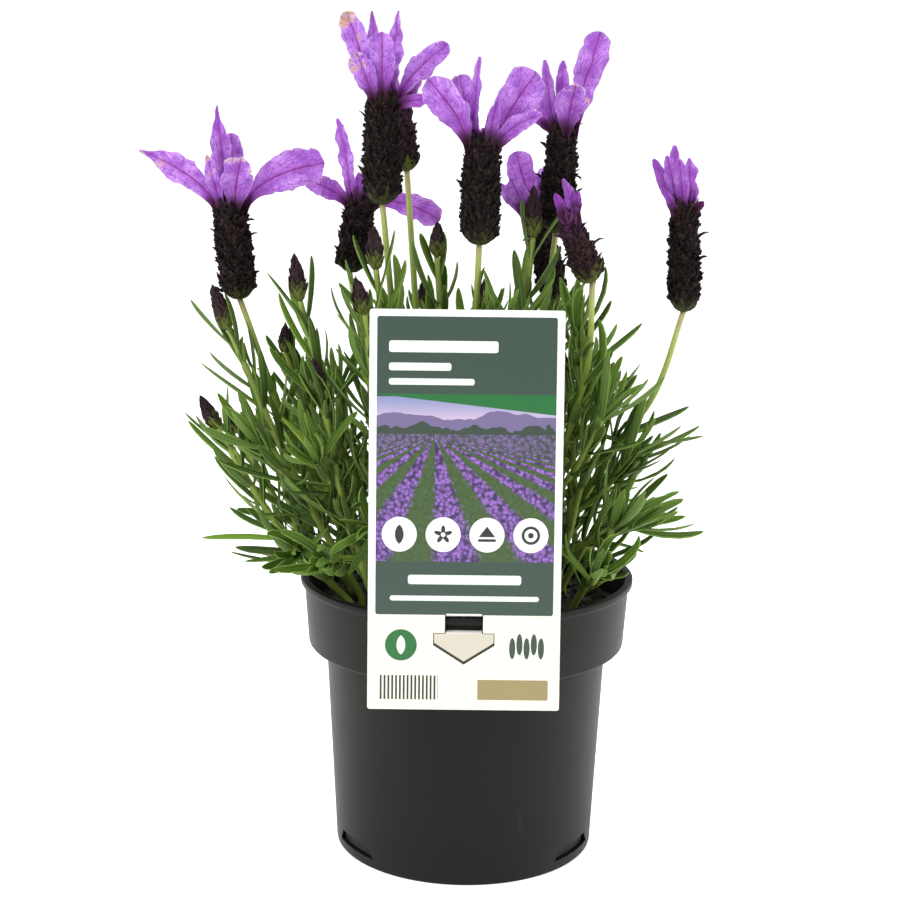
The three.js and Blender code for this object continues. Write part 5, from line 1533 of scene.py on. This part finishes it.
def plate(body, outer, holes, is_head):
    """A flat plate with holes: two triangulated faces and a wall round each outline."""
    outlines = [np.array(outer)] + [np.array(h) for h in holes]
    flat = np.vstack(outlines)
    triangles = np.array(tessellate_polygon([[(*p, 0) for p in o] for o in outlines]))
    a, b, c = (flat[triangles[:, i]] for i in range(3))
    area = (b[:, 0] - a[:, 0]) * (c[:, 1] - a[:, 1]) - (b[:, 1] - a[:, 1]) * (c[:, 0] - a[:, 0])
    triangles[area < 0] = triangles[area < 0][:, ::-1]
    n, first = len(flat), body.count
    points = np.stack([on_card(flat, 0.0), on_card(flat, -CARD["thick"])])
    walls, start = [], 0
    for outline in outlines:
        ring = start + np.arange(len(outline))
        following = np.roll(ring, -1)
        walls.append(np.stack([ring, ring + n, following + n, following], axis=-1))
        start += len(outline)
    uv = np.vstack([flat, flat]) / 10
    tint = (1.0 if is_head else 0.0, 0, 0)
    body.add(points, [triangles], uv, tint, 0)
    body.faces += [(triangles[:, ::-1] + n + first, 1)] + [(wall + first, 1) for wall in walls]


print("a point on the card's front:", on_card(np.array([0, CARD["length"]]), 0.0).round(1).tolist())

# %% Outlines of the card
def blank_outline(steps=5):
    """A rectangle with round corners, counter clockwise."""
    half, length, corner = CARD["width"] / 2, CARD["length"], CARD["corner"]
    centres = [(half - corner, corner, -90), (half - corner, length - corner, 0),
               (-half + corner, length - corner, 90), (-half + corner, corner, 180)]
    turns = np.radians(np.linspace(0, 90, steps))
    return np.vstack([np.stack([x + corner * np.cos(turns + math.radians(first)),
                                y + corner * np.sin(turns + math.radians(first))], axis=-1)
                      for x, y, first in centres])


def arrow_outline(top, margin):
    """The tongue up to top: a point, cheeks, shoulders and a neck, all wider by margin."""
    head, neck = TONGUE["head"] / 2 + margin, TONGUE["neck"] / 2 + margin
    tip, cheek = TONGUE["tip"] - margin * 1.2, TONGUE["cheek"] - margin * 0.5
    shoulder = TONGUE["shoulder"] + margin
    return [(0, tip), (head, cheek), (head, shoulder), (neck, shoulder), (neck, top), (-neck, top),
            (-neck, shoulder), (-head, shoulder), (-head, cheek)]


print("corners of the blank and the arrow:", len(blank_outline()), len(arrow_outline(TONGUE["root"], 0)))

# %% Card
def neck_route():
    """The neck's (y, z) line: back over the rim bar, down inside it and out through the slot, rounded."""
    root = on_card(np.array([0, TONGUE["root"] + 0.5]), -CARD["thick"] / 2)
    end = on_card(np.array([0, TONGUE["shoulder"] - 0.3]), -CARD["thick"] / 2)
    slot = POT["height"] - SLOT["below"] - SLOT["height"] / 2
    inside = -(POT["collar_top"] - POT["wall"]) + 1.6
    over = POT["height"] + 0.3 + TONGUE["thick"] / 2
    route = [(root[1], root[2]), (root[1] + 1.5, over + 0.5), (root[1] + 3, over), (inside - 0.5, over),
             (inside, over - 0.6), (inside, slot + 0.6), (inside - 0.6, slot), (end[1] + 0.8, slot),
             (end[1], end[2])]
    return np.vstack([route[:1], rounded(route, 0.8)[4:-4], route[-1:]])


def neck_rings(route):
    """A strip's four corners at each point of its route: right or left by half the neck, and up or down the
    route's normal by half a thickness."""
    way = unit(np.gradient(route, axis=0))
    normal = np.stack([-way[:, 1], way[:, 0]], axis=-1)
    half = TONGUE["neck"] / 2
    corners = [(half, 0.5), (-half, 0.5), (-half, -0.5), (half, -0.5)]
    return np.stack([np.concatenate([np.full((len(route), 1), CARD["foot"][0] + x),
                                     route + normal * side * TONGUE["thick"]], axis=1)
                     for x, side in corners], axis=1)


def make_card():
    """The blank less the arrow and its kerf, the tongue's head, and the neck between them."""
    body = Body()
    plate(body, blank_outline(), [arrow_outline(TONGUE["root"], TONGUE["kerf"])[::-1]], False)
    plate(body, arrow_outline(TONGUE["shoulder"] + 0.1, 0), [], True)
    rings = neck_rings(neck_route())
    body.add(rings, tube_faces(1, *rings.shape[:2]), (0, 2.4), (1, 0, 0), 1)
    return dress(body.object("card_with_tongue", CARD_FINISHES, False), "label_card", "label")


card = make_card()
print("card faces:", len(card.data.polygons))

# %% [markdown]
# ## Lights, floor and world
# The photograph is a product shot: white all round, with large soft lights and hardly any shadow. Lamps alone
# would leave a grey room round the plant, so a white world does most of it, and three large panels give the
# pot its soft edges of light and the leaves some shape.

# %% Lights
PANELS = dict(key_light=((-0.9, -1.1, 1.5), 0.9, 26), side_light=((1.3, -0.3, 0.9), 0.8, 9),
              top_light=((0.1, 0.6, 1.5), 1.0, 8))  # the place and size in metres, and the power in watts
AIM = (0, 0, 0.17)


def panel(name, place, size, power):
    """A square light of that size, turned to the middle of the plant."""
    light = bpy.data.objects.new(name, bpy.data.lights.new(name, "AREA"))
    light.data.size, light.data.energy = size, power
    away = Matrix.Translation(place).to_translation() - Matrix.Translation(AIM).to_translation()
    light.matrix_world = Matrix.Translation(place) @ away.to_track_quat("Z", "Y").to_matrix().to_4x4()
    bpy.context.scene.collection.objects.link(light)


for name, (place, size, power) in PANELS.items():
    panel(name, place, size, power)
print("lights:", len(PANELS))

# %% World and floor
FRONT_BACK = {"From Min": -0.95, "From Max": 0.15, "To Min": 0.22, "To Max": 0.9}
FLOOR_HALF = 60000


def white_room():
    """Pure white to the camera. To the plant it is dim in front, where the photographer stands, and bright
    behind, so the pot gets light edges round a dark middle."""
    world = bpy.data.worlds.new("white_room")
    world.use_nodes = True
    tree = world.node_tree
    place, split, span, path, seen = (tree.nodes.new("ShaderNode" + kind) for kind in (
        "TexCoord", "SeparateXYZ", "MapRange", "LightPath", "Math"))
    tree.links.new(place.outputs["Generated"], split.inputs[0])
    tree.links.new(split.outputs["Y"], span.inputs["Value"])
    for name, value in FRONT_BACK.items():
        span.inputs[name].default_value = value
    seen.operation = "MAXIMUM"
    tree.links.new(span.outputs["Result"], seen.inputs[0])
    tree.links.new(path.outputs["Is Camera Ray"], seen.inputs[1])
    background = tree.nodes["Background"]
    tree.links.new(seen.outputs[0], background.inputs["Strength"])
    background.inputs["Color"].default_value = (1, 1, 1, 1)
    bpy.context.scene.world = world


def make_floor():
    """A white square that also glows a little, so that its shadows stay pale."""
    finish = Finish("white_floor")
    finish.surface(Base_Color=(0.93, 0.93, 0.93), Roughness=0.6, Emission_Color=(1, 1, 1),
                   Emission_Strength=0.5)
    corners = np.array([(-1, -1, 0), (1, -1, 0), (1, 1, 0), (-1, 1, 0)], float) * FLOOR_HALF
    body = Body()
    body.add(corners, [np.array([[0, 1, 2, 3]])], (0, 0), (0, 0, 0))
    body.object("floor", [finish.material])


white_room()
bpy.context.scene.view_settings.view_transform = "Standard"
make_floor()
print("floor, m across:", 2 * FLOOR_HALF * MM)

# %% [markdown]
